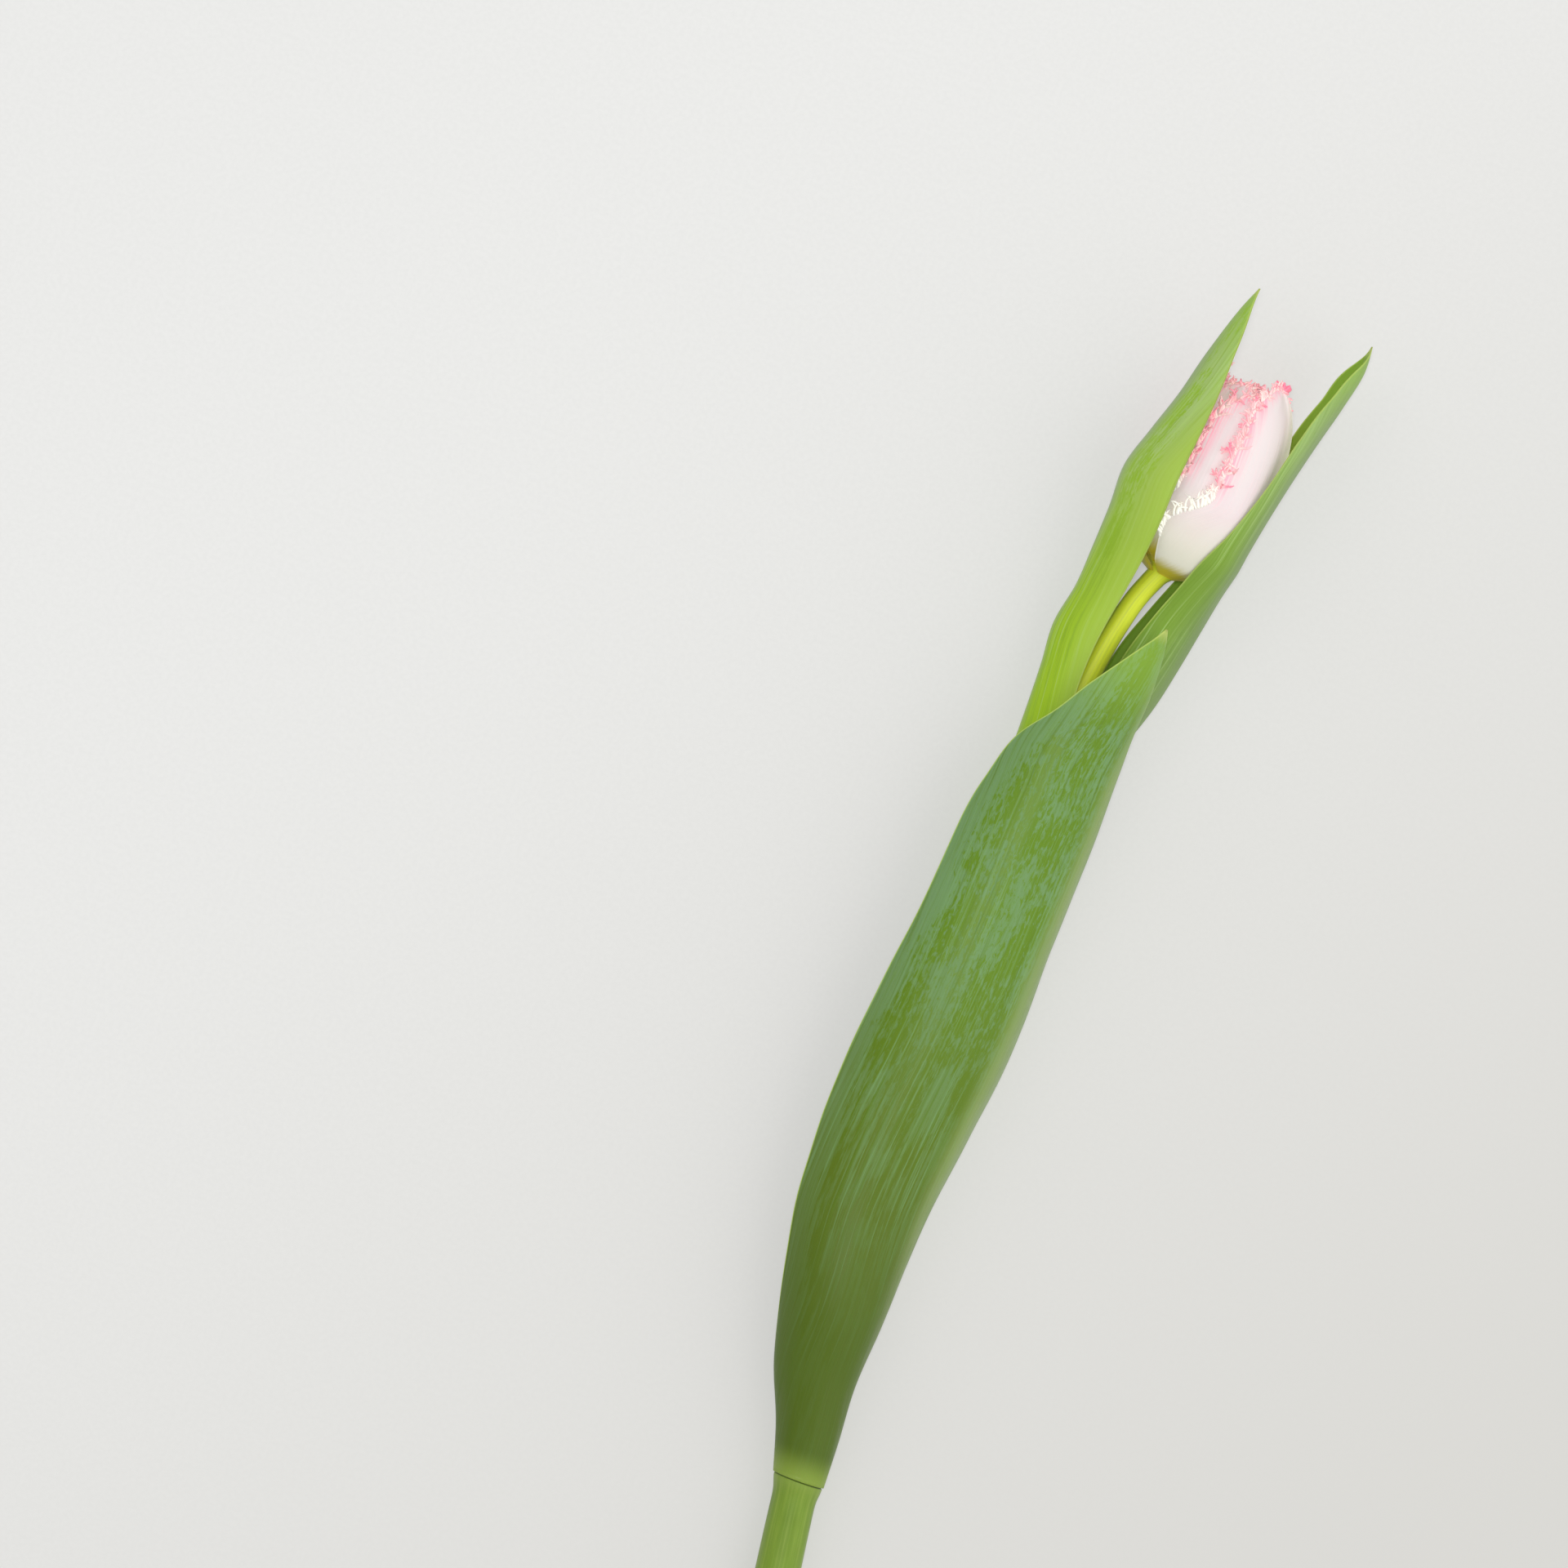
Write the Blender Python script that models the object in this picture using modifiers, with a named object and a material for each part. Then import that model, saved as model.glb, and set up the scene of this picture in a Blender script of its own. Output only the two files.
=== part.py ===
"""A fringed tulip, cut with its three leaves and laid down: metres, +Y from the cut end to the bloom, +Z up.

While it is built, everything is measured in millimetres from the foot of the bloom. At the end the whole flower
is moved so that its origin lies on the table under the middle of it.
"""

import math
import random

import bmesh
import bpy
import numpy as np
from mathutils import Vector

MM = 0.001

# The surface that the flower lies on, and what lies flat on it
TABLE = 0.0
GAP = 0.3

# Stem: a point is x, y, z of its centre line and its radius
STEM_SIDES_RESOLUTION = 4
STEM_ROUTE = (
    (9.0, -345.0, 5.5, 5.5),
    (4.0, -300.0, 5.5, 5.45),
    (-1.0, -262.0, 5.6, 5.4),
    (-5.5, -229.0, 6.2, 5.2),
    (-8.0, -206.0, 6.8, 4.9),
    (-12.0, -157.0, 8.0, 4.4),
    (-13.5, -112.0, 9.4, 4.0),
    (-12.0, -70.0, 11.5, 3.45),
    (-7.7, -30.0, 14.2, 2.75),
    (-5.4, -16.0, 15.4, 2.6),
    (-3.4, -8.0, 15.7, 2.6),
)
STEM_STEP = 9.0
NODE_RING_RISE = 0.75
NODE_RING_HALF_LENGTH = 2.2

# Bloom: it stands on the stem's receptacle, its axis leaning from +Y toward +X
BLOOM_LEAN = math.radians(6.1)
BLOOM_AXIS_HEIGHT = 15.9
RECEPTACLE_RADIUS = 4.8
RECEPTACLE_TOP = 4.4
BLOOM_PROFILE = (
    (5.1, -0.3),
    (9.3, 1.7),
    (12.5, 5.6),
    (14.3, 10.5),
    (15.3, 16.0),
    (15.6, 22.0),
    (15.3, 29.5),
    (14.2, 36.5),
    (12.5, 42.0),
    (9.9, 46.6),
    (6.6, 50.3),
)
PETAL_THICKNESS = 0.6
LAYER_PITCH = 1.15
FOOT_RADIUS = RECEPTACLE_RADIUS + GAP + 0.1
PETAL_ROWS = 19
PETAL_COLUMNS = 5
FOOT_ENDS_AT = 0.24
BODY_STARTS_AT = 0.42
TOOTH_LENGTH = 2.3
TEETH_START_AT = 0.2

# A petal: layer, its margins' angles at the foot, at the body, where its tip narrows from and where it ends.
# Angles go round the bloom from the top (+Z) toward +X; places along a petal go from 0 at its foot to 1.
PETALS = {
    "petal_outer_front": (0, (-21.0, 92.0), (13.0, 109.0), 0.80, 1.0),
    "petal_outer_under": (0, (109.0, 204.0), (131.0, 208.0), 0.80, 0.97),
    "petal_outer_left": (0, (223.0, 321.0), (232.0, 318.0), 0.80, 0.975),
    "petal_second_front": (1, (-40.0, 30.0), (-16.0, 40.0), 0.72, 0.955),
    "petal_second_under": (1, (80.0, 150.0), (84.0, 158.0), 0.76, 0.965),
    "petal_second_left": (1, (200.0, 270.0), (204.0, 276.0), 0.76, 0.96),
    "petal_third_front": (2, (-85.0, -5.0), (-66.0, -4.0), 0.74, 0.965),
    "petal_third_right": (2, (35.0, 110.0), (42.0, 112.0), 0.76, 0.97),
    "petal_third_under": (2, (150.0, 225.0), (152.0, 226.0), 0.76, 0.955),
    "petal_inner_front": (3, (-20.0, 60.0), (-22.0, 56.0), 0.74, 0.96),
    "petal_inner_right": (3, (95.0, 175.0), (92.0, 172.0), 0.74, 0.955),
    "petal_inner_left": (3, (215.0, 295.0), (212.0, 292.0), 0.74, 0.96),
}

# Pistil and stamens, which stand on the receptacle inside the petals
OVARY_RADIUS = 2.4
OVARY_HEIGHT = 21.0
STIGMA_RADIUS = 3.6
STAMEN_COUNT = 6
STAMEN_RING_RADIUS = 4.1
FILAMENT_RADIUS = 0.55
FILAMENT_HEIGHT = 9.0
ANTHER_RADIUS = 1.15
ANTHER_LENGTH = 11.0

# Leaves: each is a row of elliptical arcs across the leaf, from its sheath round the stem to its tip.
# An arc is y, its centre's x and z, its reach along x and z, and the angles of its two margins from +Z toward +X.
LEAF_THICKNESS = 0.7
LEAF_COLUMNS = 8
LEAVES = {
    "leaf_lowest": (
        30,
        (-229.0, -5.5, 6.3, 6.0, 6.0, -130.0, 140.0),
        (-218.0, -7.5, 6.8, 7.5, 7.3, -112.0, 138.0),
        (-205.0, -10.7, 7.4, 9.8, 9.6, -88.0, 134.0),
        (-190.0, -12.6, 8.0, 12.5, 12.3, -72.0, 128.0),
        (-162.0, -15.6, 5.9, 16.7, 16.5, -56.0, 112.0),
        (-140.0, -15.1, 5.6, 19.0, 18.8, -53.0, 108.0),
        (-120.0, -13.7, 6.0, 19.8, 19.8, -50.0, 105.0),
        (-90.0, -11.9, 7.6, 18.4, 18.8, -48.0, 106.0),
        (-60.0, -9.9, 9.6, 17.0, 17.3, -47.0, 104.0),
        (-48.0, -8.9, 11.3, 15.9, 16.0, -38.0, 97.0),
        (-40.0, -8.0, 12.7, 15.0, 14.8, -19.0, 91.0),
        (-30.0, -5.4, 13.9, 13.0, 12.8, -5.0, 86.0),
        (-20.0, -3.6, 15.2, 11.0, 10.5, 22.0, 78.0),
        (-13.0, -2.3, 16.6, 10.0, 9.0, 49.0, 54.0),
    ),
    "leaf_left": (
        28,
        (-95.0, -13.2, 10.1, 4.6, 4.6, -160.0, 80.0),
        (-82.0, -12.9, 10.6, 5.1, 5.0, -160.0, 62.0),
        (-70.0, -12.4, 10.9, 6.0, 5.9, -160.0, 45.0),
        (-45.0, -9.9, 9.7, 8.4, 8.4, -154.0, 10.0),
        (-30.0, -9.1, 9.0, 9.6, 9.6, -157.0, 0.0),
        (-20.0, -8.8, 8.9, 10.5, 10.5, -157.0, 1.6),
        (-10.0, -6.0, 10.2, 11.5, 11.6, -154.0, -5.0),
        (0.0, -3.0, 12.4, 14.0, 14.0, -138.0, -10.7),
        (10.0, 0.3, 14.6, 17.0, 17.0, -128.0, -17.5),
        (20.0, 1.2, 15.4, 18.0, 18.0, -124.0, -18.5),
        (30.0, 3.4, 15.7, 17.2, 17.4, -114.0, -23.3),
        (40.0, 4.6, 16.0, 15.2, 15.5, -102.0, -27.8),
        (50.0, 4.0, 17.0, 12.2, 12.5, -92.0, -30.0),
        (60.0, 4.6, 18.0, 10.0, 10.0, -84.0, -41.0),
        (68.8, 5.4, 19.0, 8.0, 8.0, -68.0, -63.0),
    ),
    "leaf_right": (
        30,
        (-118.0, -13.4, 9.3, 4.9, 4.9, -20.0, 220.0),
        (-105.0, -13.3, 9.6, 5.3, 5.3, 10.0, 236.0),
        (-90.0, -12.9, 10.0, 6.4, 6.3, 45.0, 240.0),
        (-70.0, -10.2, 9.4, 7.7, 7.4, 38.0, 210.0),
        (-45.0, -5.5, 8.2, 10.1, 7.6, 7.0, 190.0),
        (-30.0, -3.8, 8.1, 13.2, 7.9, 3.0, 184.0),
        (-20.0, -1.2, 8.2, 12.7, 8.0, 0.0, 188.0),
        (-10.0, 2.0, 8.8, 11.3, 8.6, 0.0, 188.0),
        (0.0, 3.6, 11.9, 11.5, 11.7, 10.0, 176.0),
        (5.0, 2.4, 13.7, 13.9, 14.8, 22.0, 158.0),
        (10.0, 1.4, 15.2, 15.6, 15.9, 34.0, 147.0),
        (20.0, 1.9, 15.7, 16.9, 16.9, 44.7, 138.0),
        (30.0, 3.7, 15.7, 17.2, 17.2, 49.0, 131.0),
        (40.0, 11.3, 15.5, 12.0, 12.5, 41.0, 146.6),
        (50.0, 18.4, 14.6, 7.5, 8.0, 33.0, 159.0),
        (60.0, 23.4, 14.0, 4.5, 5.0, 42.0, 163.0),
        (65.9, 24.8, 13.8, 3.0, 3.4, 93.0, 109.0),
    ),
}

# Colours, as linear RGB
LEAF_GREEN = (0.13, 0.27, 0.07)
STEM_GREEN = (0.30, 0.42, 0.05)
PETAL_CREAM = (0.80, 0.70, 0.66)
PISTIL_GREEN = (0.45, 0.52, 0.18)
ANTHER_BROWN = (0.20, 0.12, 0.05)


def clear_scene():
    for thing in list(bpy.data.objects):
        bpy.data.objects.remove(thing)


def make_material(name, colour, roughness):
    material = bpy.data.materials.new(name)
    material.use_nodes = True
    shader = material.node_tree.nodes["Principled BSDF"]
    shader.inputs["Base Color"].default_value = (*colour, 1.0)
    shader.inputs["Roughness"].default_value = roughness
    shader.inputs["Metallic"].default_value = 0.0
    return material


def add_object(name, data, material, flower):
    """Puts a mesh or a curve under the flower's empty, in its collection."""
    data.materials.append(material)
    thing = bpy.data.objects.new(name, data)
    flower.users_collection[0].objects.link(thing)
    thing.parent = flower
    return thing


def smooth_rows(rows, places):
    """Rows of numbers at the given places, on a smooth curve through rows that each start with their place."""
    rows = np.array(rows, dtype=float)
    knots = rows[:, 0]
    slopes = np.gradient(rows, knots, axis=0)
    places = np.clip(places, knots[0], knots[-1])
    left = np.clip(np.searchsorted(knots, places, side="right") - 1, 0, len(knots) - 2)
    span = (knots[left + 1] - knots[left])[:, None]
    share = ((places - knots[left]) / span[:, 0])[:, None]
    start = (1 + 2 * share) * (1 - share) ** 2 * rows[left] + share * (1 - share) ** 2 * span * slopes[left]
    end = share**2 * (3 - 2 * share) * rows[left + 1] + share**2 * (share - 1) * span * slopes[left + 1]
    return start + end


def with_lengths(points):
    """The points, each after its distance along their polyline from the first, as a share of the whole."""
    points = np.array(points, dtype=float)
    steps = np.linalg.norm(np.diff(points[:, :3], axis=0), axis=1)
    lengths = np.concatenate(([0.0], np.cumsum(steps)))
    return np.column_stack((lengths / lengths[-1], points)), lengths[-1]


def blend(low, high, value):
    """0 below low, 1 above high, and smooth between them."""
    share = min(max((value - low) / (high - low), 0.0), 1.0)
    return share * share * (3.0 - 2.0 * share)


def thicken(thing, thickness):
    solid = thing.modifiers.new("Solidify", "SOLIDIFY")
    solid.thickness = thickness * MM
    solid.offset = 0.0
    solid.use_even_offset = False


def bloom_point(height, radius, angle):
    """A point at a height along the bloom's axis, a radius from it and an angle from +Z toward +X."""
    across = radius * math.sin(angle)
    x = height * math.sin(BLOOM_LEAN) + across * math.cos(BLOOM_LEAN)
    y = height * math.cos(BLOOM_LEAN) - across * math.sin(BLOOM_LEAN)
    return Vector((x, y, BLOOM_AXIS_HEIGHT + radius * math.cos(angle)))


# Stem with its node rings and receptacle


def stem_centre_line():
    """Centre line and radius of the stem every few millimetres, then of the receptacle."""
    rows, length = with_lengths(STEM_ROUTE)
    places = np.linspace(0.0, 1.0, round(length / STEM_STEP) + 1)
    ring_places = []
    for leaf_rows in LEAVES.values():
        foot = leaf_rows[1][0] - LEAF_THICKNESS - NODE_RING_HALF_LENGTH
        middle = float(np.interp(foot, [row[1] for row in STEM_ROUTE], rows[:, 0]))
        half = NODE_RING_HALF_LENGTH / length
        places = places[np.abs(places - middle) > 2.2 * half]
        ring_places.append(middle)
        places = np.concatenate((places, (middle - half, middle, middle + half)))
    places = np.sort(places)
    points = []
    for place, (_, x, y, z, radius) in zip(places, smooth_rows(rows, places)):
        on_ring = any(abs(place - middle) < 1e-6 for middle in ring_places)
        points.append((Vector((x, y, z)), radius + NODE_RING_RISE * on_ring))
    for height, radius in ((-3.4, 3.1), (-1.4, 4.5), (0.2, RECEPTACLE_RADIUS)):
        centre = bloom_point(height, 0.0, 0.0)
        centre.x += 0.35 * min(height, 0.0)
        points.append((centre, radius))
    points.append((bloom_point(RECEPTACLE_TOP, 0.0, 0.0), RECEPTACLE_RADIUS))
    return points


def make_stem(flower, material):
    curve = bpy.data.curves.new("stem", "CURVE")
    curve.dimensions = "3D"
    curve.bevel_depth = RECEPTACLE_RADIUS * MM
    curve.bevel_resolution = STEM_SIDES_RESOLUTION
    curve.use_fill_caps = True
    spline = curve.splines.new("POLY")
    points = stem_centre_line()
    spline.points.add(len(points) - 1)
    for point, (centre, radius) in zip(spline.points, points):
        point.co = (*(centre * MM), 1.0)
        point.radius = radius / RECEPTACLE_RADIUS
    spline.use_smooth = True
    return add_object("stem", curve, material, flower)


# Leaves


def leaf_point(row, share):
    """A point of a leaf's arc, from its first margin (share 0) to its second (share 1), laid on the table."""
    _, x, z, reach, rise, first, second = row[-7:]
    angle = math.radians(first + share * (second - first))
    floor = TABLE + LEAF_THICKNESS / 2
    return x + reach * math.sin(angle), max(z + rise * math.cos(angle), floor)


def make_leaf(name, rows, row_count, flower, material):
    places = np.linspace(0.0, 1.0, row_count + 1)
    ys = rows[0][0] + (rows[-1][0] - rows[0][0]) * places
    arcs = smooth_rows(rows, ys)
    bm = bmesh.new()
    bmesh.ops.create_grid(bm, x_segments=LEAF_COLUMNS, y_segments=row_count, size=1.0)
    for vertex in bm.verts:
        row = round((vertex.co.y + 1) / 2 * row_count)
        x, z = leaf_point(arcs[row], (vertex.co.x + 1) / 2)
        vertex.co = Vector((x, ys[row], z)) * MM
    bmesh.ops.triangulate(bm, faces=bm.faces[:], quad_method="SHORT_EDGE")
    mesh = bpy.data.meshes.new(name)
    bm.to_mesh(mesh)
    bm.free()
    mesh.shade_smooth()
    leaf = add_object(name, mesh, material, flower)
    thicken(leaf, LEAF_THICKNESS)
    return leaf


# Petals


def profile_point(place, layer):
    """Radius and height at a place along a petal's profile, moved inward for each layer."""
    rows, _ = with_lengths([(radius, height, 0.0) for radius, height in BLOOM_PROFILE])
    inside = min(max(place, 0.0), 1.0)
    step = 0.01
    here, ahead, behind = smooth_rows(rows, np.array([inside, min(inside + step, 1.0), max(inside - step, 0.0)]))
    along = (ahead - behind)[1:3]
    along = along / np.linalg.norm(along)
    length = 58.0 * (place - inside)
    radius = here[1] + length * along[0] - layer * LAYER_PITCH * along[1]
    radius = max(radius, FOOT_RADIUS) if place < 0.5 else radius
    height = here[2] + length * along[1] + layer * LAYER_PITCH * along[0]
    return radius, height


def petal_margins(petal, place):
    """The angles of a petal's two margins, in radians, at a place from its foot to its tip."""
    _, foot, body, narrows_at, end = petal
    share = blend(FOOT_ENDS_AT, BODY_STARTS_AT, place)
    first = foot[0] + share * (body[0] - foot[0])
    second = foot[1] + share * (body[1] - foot[1])
    middle = (first + second) / 2
    half = (second - first) / 2
    if place > narrows_at:
        half *= math.sqrt(max(1 - ((place - narrows_at) / (end - narrows_at)) ** 2, 0.12))
    return math.radians(middle - half), math.radians(middle + half)


def petal_point(petal, across, place):
    """A point of a petal: across goes from 0 at its first margin to 1 at its second, and past them in the teeth."""
    first, second = petal_margins(petal, min(place, petal[4]))
    radius, height = profile_point(place, petal[0])
    return bloom_point(height, radius, first + across * (second - first))


def add_teeth(bm, petal, margin, side, random_source):
    """One pointed tooth on each edge of a margin, whose vertices run from the petal's foot to its tip."""
    first, second = petal_margins(petal, 0.5)
    for (low, low_place), (high, high_place) in zip(margin, margin[1:]):
        place = (low_place + high_place) / 2
        if place < TEETH_START_AT:
            continue
        length = TOOTH_LENGTH * random_source.uniform(0.75, 1.1)
        radius, _ = profile_point(place, petal[0])
        first, second = petal_margins(petal, min(place, petal[4]))
        reach = length / radius / (second - first)
        reach = min(reach, 0.5)
        across = -reach if side < 0 else 1 + reach
        tip = petal_point(petal, across, place + 0.35 * (high_place - low_place))
        bm.faces.new((low, high, bm.verts.new(tip * MM)) if side > 0 else (high, low, bm.verts.new(tip * MM)))


def add_tip_teeth(bm, petal, edge, random_source):
    """Teeth that stand on the petal's blunt top edge."""
    for (left, left_across), (right, right_across) in list(zip(edge, edge[1:]))[::2]:
        middle = (left_across + right_across) / 2
        place = petal[4] + 0.03 * random_source.uniform(0.8, 1.1)
        tip = petal_point(petal, middle, place)
        bm.faces.new((right, left, bm.verts.new(tip * MM)))


def make_petal(name, petal, flower, material):
    random_source = random.Random(name)
    bm = bmesh.new()
    bmesh.ops.create_grid(bm, x_segments=PETAL_COLUMNS, y_segments=PETAL_ROWS, size=1.0)
    margins = {-1: [], 1: []}
    top = []
    for vertex in bm.verts:
        across = (vertex.co.x + 1) / 2
        row_share = (vertex.co.y + 1) / 2
        place = row_share * petal[4]
        if abs(vertex.co.x) > 0.999:
            margins[round(vertex.co.x)].append((vertex, place))
        if vertex.co.y > 0.999:
            top.append((vertex, across))
        vertex.co = petal_point(petal, across, place) * MM
    bmesh.ops.triangulate(bm, faces=bm.faces[:], quad_method="SHORT_EDGE")
    for side, margin in margins.items():
        add_teeth(bm, petal, sorted(margin, key=lambda pair: pair[1]), side, random_source)
    add_tip_teeth(bm, petal, sorted(top, key=lambda pair: pair[1]), random_source)
    bmesh.ops.recalc_face_normals(bm, faces=bm.faces[:])
    mesh = bpy.data.meshes.new(name)
    bm.to_mesh(mesh)
    bm.free()
    mesh.shade_smooth()
    thing = add_object(name, mesh, material, flower)
    thicken(thing, PETAL_THICKNESS)
    return thing


# Pistil and stamens


def revolve(name, profile, sides, centre_height, ring_radius, ring_angle, lobes, flower, material):
    """A closed turned body along the bloom's axis. With lobes, its radius swells three times round."""
    bm = bmesh.new()
    bmesh.ops.create_cone(
        bm, cap_ends=True, segments=sides, radius1=1.0, radius2=1.0, depth=1.0
    )
    bmesh.ops.subdivide_edges(
        bm,
        edges=[edge for edge in bm.edges if abs(edge.verts[0].co.z - edge.verts[1].co.z) > 0.5],
        cuts=len(profile) - 2,
    )
    for vertex in bm.verts:
        radius, height = profile[round((vertex.co.z + 0.5) * (len(profile) - 1))]
        turn = math.atan2(vertex.co.x, vertex.co.y)
        radius *= 1.0 + lobes * math.cos(3 * turn)
        centre = bloom_point(centre_height + height, ring_radius, ring_angle)
        spoke = bloom_point(0.0, radius, turn) - bloom_point(0.0, 0.0, 0.0)
        vertex.co = (centre + spoke) * MM
    bmesh.ops.triangulate(bm, faces=bm.faces[:])
    bmesh.ops.recalc_face_normals(bm, faces=bm.faces[:])
    mesh = bpy.data.meshes.new(name)
    bm.to_mesh(mesh)
    bm.free()
    mesh.shade_smooth()
    return add_object(name, mesh, material, flower)


def make_pistil(flower, material):
    foot = RECEPTACLE_TOP + GAP
    profile = (
        (OVARY_RADIUS * 0.82, 0.0),
        (OVARY_RADIUS, 3.0),
        (OVARY_RADIUS * 0.95, OVARY_HEIGHT * 0.7),
        (OVARY_RADIUS * 0.75, OVARY_HEIGHT),
        (STIGMA_RADIUS, OVARY_HEIGHT + 2.0),
        (STIGMA_RADIUS * 0.9, OVARY_HEIGHT + 3.4),
        (STIGMA_RADIUS * 0.3, OVARY_HEIGHT + 3.8),
    )
    return revolve("pistil", profile, 18, foot, 0.0, 0.0, 0.14, flower, material)


def make_stamens(flower, material):
    foot = RECEPTACLE_TOP + GAP
    profile = (
        (FILAMENT_RADIUS, 0.0),
        (FILAMENT_RADIUS, FILAMENT_HEIGHT - 0.6),
        (ANTHER_RADIUS * 0.8, FILAMENT_HEIGHT),
        (ANTHER_RADIUS, FILAMENT_HEIGHT + ANTHER_LENGTH * 0.25),
        (ANTHER_RADIUS * 0.9, FILAMENT_HEIGHT + ANTHER_LENGTH * 0.8),
        (ANTHER_RADIUS * 0.3, FILAMENT_HEIGHT + ANTHER_LENGTH),
    )
    for index in range(STAMEN_COUNT):
        angle = math.tau * (index + 0.5) / STAMEN_COUNT
        name = f"stamen_{index + 1}"
        revolve(name, profile, 8, foot, STAMEN_RING_RADIUS, angle, 0.0, flower, material)


def centre_on_table(flower):
    """Moves the flower so that the origin is under the middle of its bounding box, on the table."""
    bpy.context.view_layer.update()
    graph = bpy.context.evaluated_depsgraph_get()
    corners = []
    for thing in flower.children:
        mesh = thing.evaluated_get(graph).to_mesh()
        corners.extend(thing.matrix_world @ vertex.co for vertex in mesh.vertices)
    lowest = Vector([min(corner[axis] for corner in corners) for axis in range(3)])
    highest = Vector([max(corner[axis] for corner in corners) for axis in range(3)])
    middle = (lowest + highest) / 2
    flower.location = (-middle.x, -middle.y, -lowest.z)


def main():
    clear_scene()
    collection = bpy.data.collections.new("fringed_tulip")
    bpy.context.scene.collection.children.link(collection)
    flower = bpy.data.objects.new("fringed_tulip", None)
    collection.objects.link(flower)
    make_stem(flower, make_material("stem", STEM_GREEN, 0.45))
    leaf_material = make_material("leaf", LEAF_GREEN, 0.5)
    for name, (row_count, *rows) in LEAVES.items():
        make_leaf(name, rows, row_count, flower, leaf_material)
    petal_material = make_material("petal", PETAL_CREAM, 0.55)
    for name, petal in PETALS.items():
        make_petal(name, petal, flower, petal_material)
    make_pistil(flower, make_material("pistil", PISTIL_GREEN, 0.5))
    make_stamens(flower, make_material("anther", ANTHER_BROWN, 0.7))
    centre_on_table(flower)


main()
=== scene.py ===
"""The looks of the lying fringed tulip: waxy leaves, satin petals with a crystal fringe, and a pale table.

Pieces are worked out in millimetres from the foot of the bloom, as the solids were, and moved to their
place in the frame. Attributes on each mesh say where a point lies on its leaf, petal or stem, and the
materials use them.
"""

import math
import random

import bpy
import numpy as np
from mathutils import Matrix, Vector


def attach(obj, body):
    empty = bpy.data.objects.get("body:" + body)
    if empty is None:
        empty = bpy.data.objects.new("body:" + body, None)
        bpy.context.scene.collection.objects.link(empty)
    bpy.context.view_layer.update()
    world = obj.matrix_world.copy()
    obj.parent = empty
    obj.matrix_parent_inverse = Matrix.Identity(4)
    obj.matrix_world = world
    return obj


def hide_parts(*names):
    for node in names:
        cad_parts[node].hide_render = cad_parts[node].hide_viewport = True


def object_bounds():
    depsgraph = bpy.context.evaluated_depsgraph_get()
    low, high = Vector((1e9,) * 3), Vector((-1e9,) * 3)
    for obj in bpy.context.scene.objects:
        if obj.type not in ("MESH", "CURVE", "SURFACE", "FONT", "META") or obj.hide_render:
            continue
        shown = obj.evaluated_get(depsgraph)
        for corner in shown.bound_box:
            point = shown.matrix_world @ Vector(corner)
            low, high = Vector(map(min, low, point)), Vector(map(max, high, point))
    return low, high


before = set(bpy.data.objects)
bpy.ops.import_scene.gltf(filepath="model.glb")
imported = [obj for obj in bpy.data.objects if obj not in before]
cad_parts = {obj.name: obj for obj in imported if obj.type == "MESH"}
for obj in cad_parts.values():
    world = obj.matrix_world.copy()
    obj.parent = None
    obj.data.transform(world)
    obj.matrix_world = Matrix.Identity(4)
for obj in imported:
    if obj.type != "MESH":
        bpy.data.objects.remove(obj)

MM = 0.001
CAD_BOX = [list(corner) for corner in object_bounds()]

# The foot of the bloom in the frame, in millimetres
BLOOM_FOOT = np.array((1.157, 138.354, 0.0))

# Bloom
BLOOM_LEAN = math.radians(6.1)
BLOOM_AXIS_HEIGHT = 15.9
RECEPTACLE_RADIUS = 4.8
RECEPTACLE_TOP = 4.4
GAP = 0.3
FOOT_RADIUS = RECEPTACLE_RADIUS + GAP + 0.1
BLOOM_PROFILE = (
    (5.1, -0.3),
    (9.3, 1.7),
    (12.5, 5.6),
    (14.3, 10.5),
    (15.3, 16.0),
    (15.6, 22.0),
    (15.3, 29.5),
    (14.2, 36.5),
    (12.5, 42.0),
    (9.9, 46.6),
    (6.6, 50.3),
)
PETAL_LENGTH = 58.0
LAYER_PITCH = 1.15
FOOT_ENDS_AT = 0.24
BODY_STARTS_AT = 0.42
PETAL_HALF_THICKNESS = 0.27
PETAL_GRID = (100, 44)
PETAL_FOOT_PLACE = -0.035
FRINGE_STARTS_AT = 0.17
# Spacing, length, half width and share of branched strands of the cream curls below and the pink frill above
CURLS = (0.75, 4.6, 0.4, 0.35)
FRILL = (0.36, 4.0, 0.34, 0.8)
FRINGE_TURNS_PINK = (0.37, 0.47)
# How far the fringe may lie from the bloom's axis, and from its own layer: inward, outward, and outward
# where another petal covers it
FRINGE_LIMIT = 16.3
FRINGE_BELOW = 0.5
FRINGE_ABOVE = 1.7
FRINGE_ABOVE_COVERED = 0.45
FRINGE_LEAF_GAP = 0.3
LEAF_CLEARANCE_TURN = 5.0
MARGIN_LINE_SIDE = 200
MARGIN_LINE_TIP = 20
STRAND_SIDES = 5
STRAND_STEPS = 8
BRANCH_STEPS = 5
KNOB_STRANDS = 9
KNOB_LENGTH = 2.3

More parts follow.
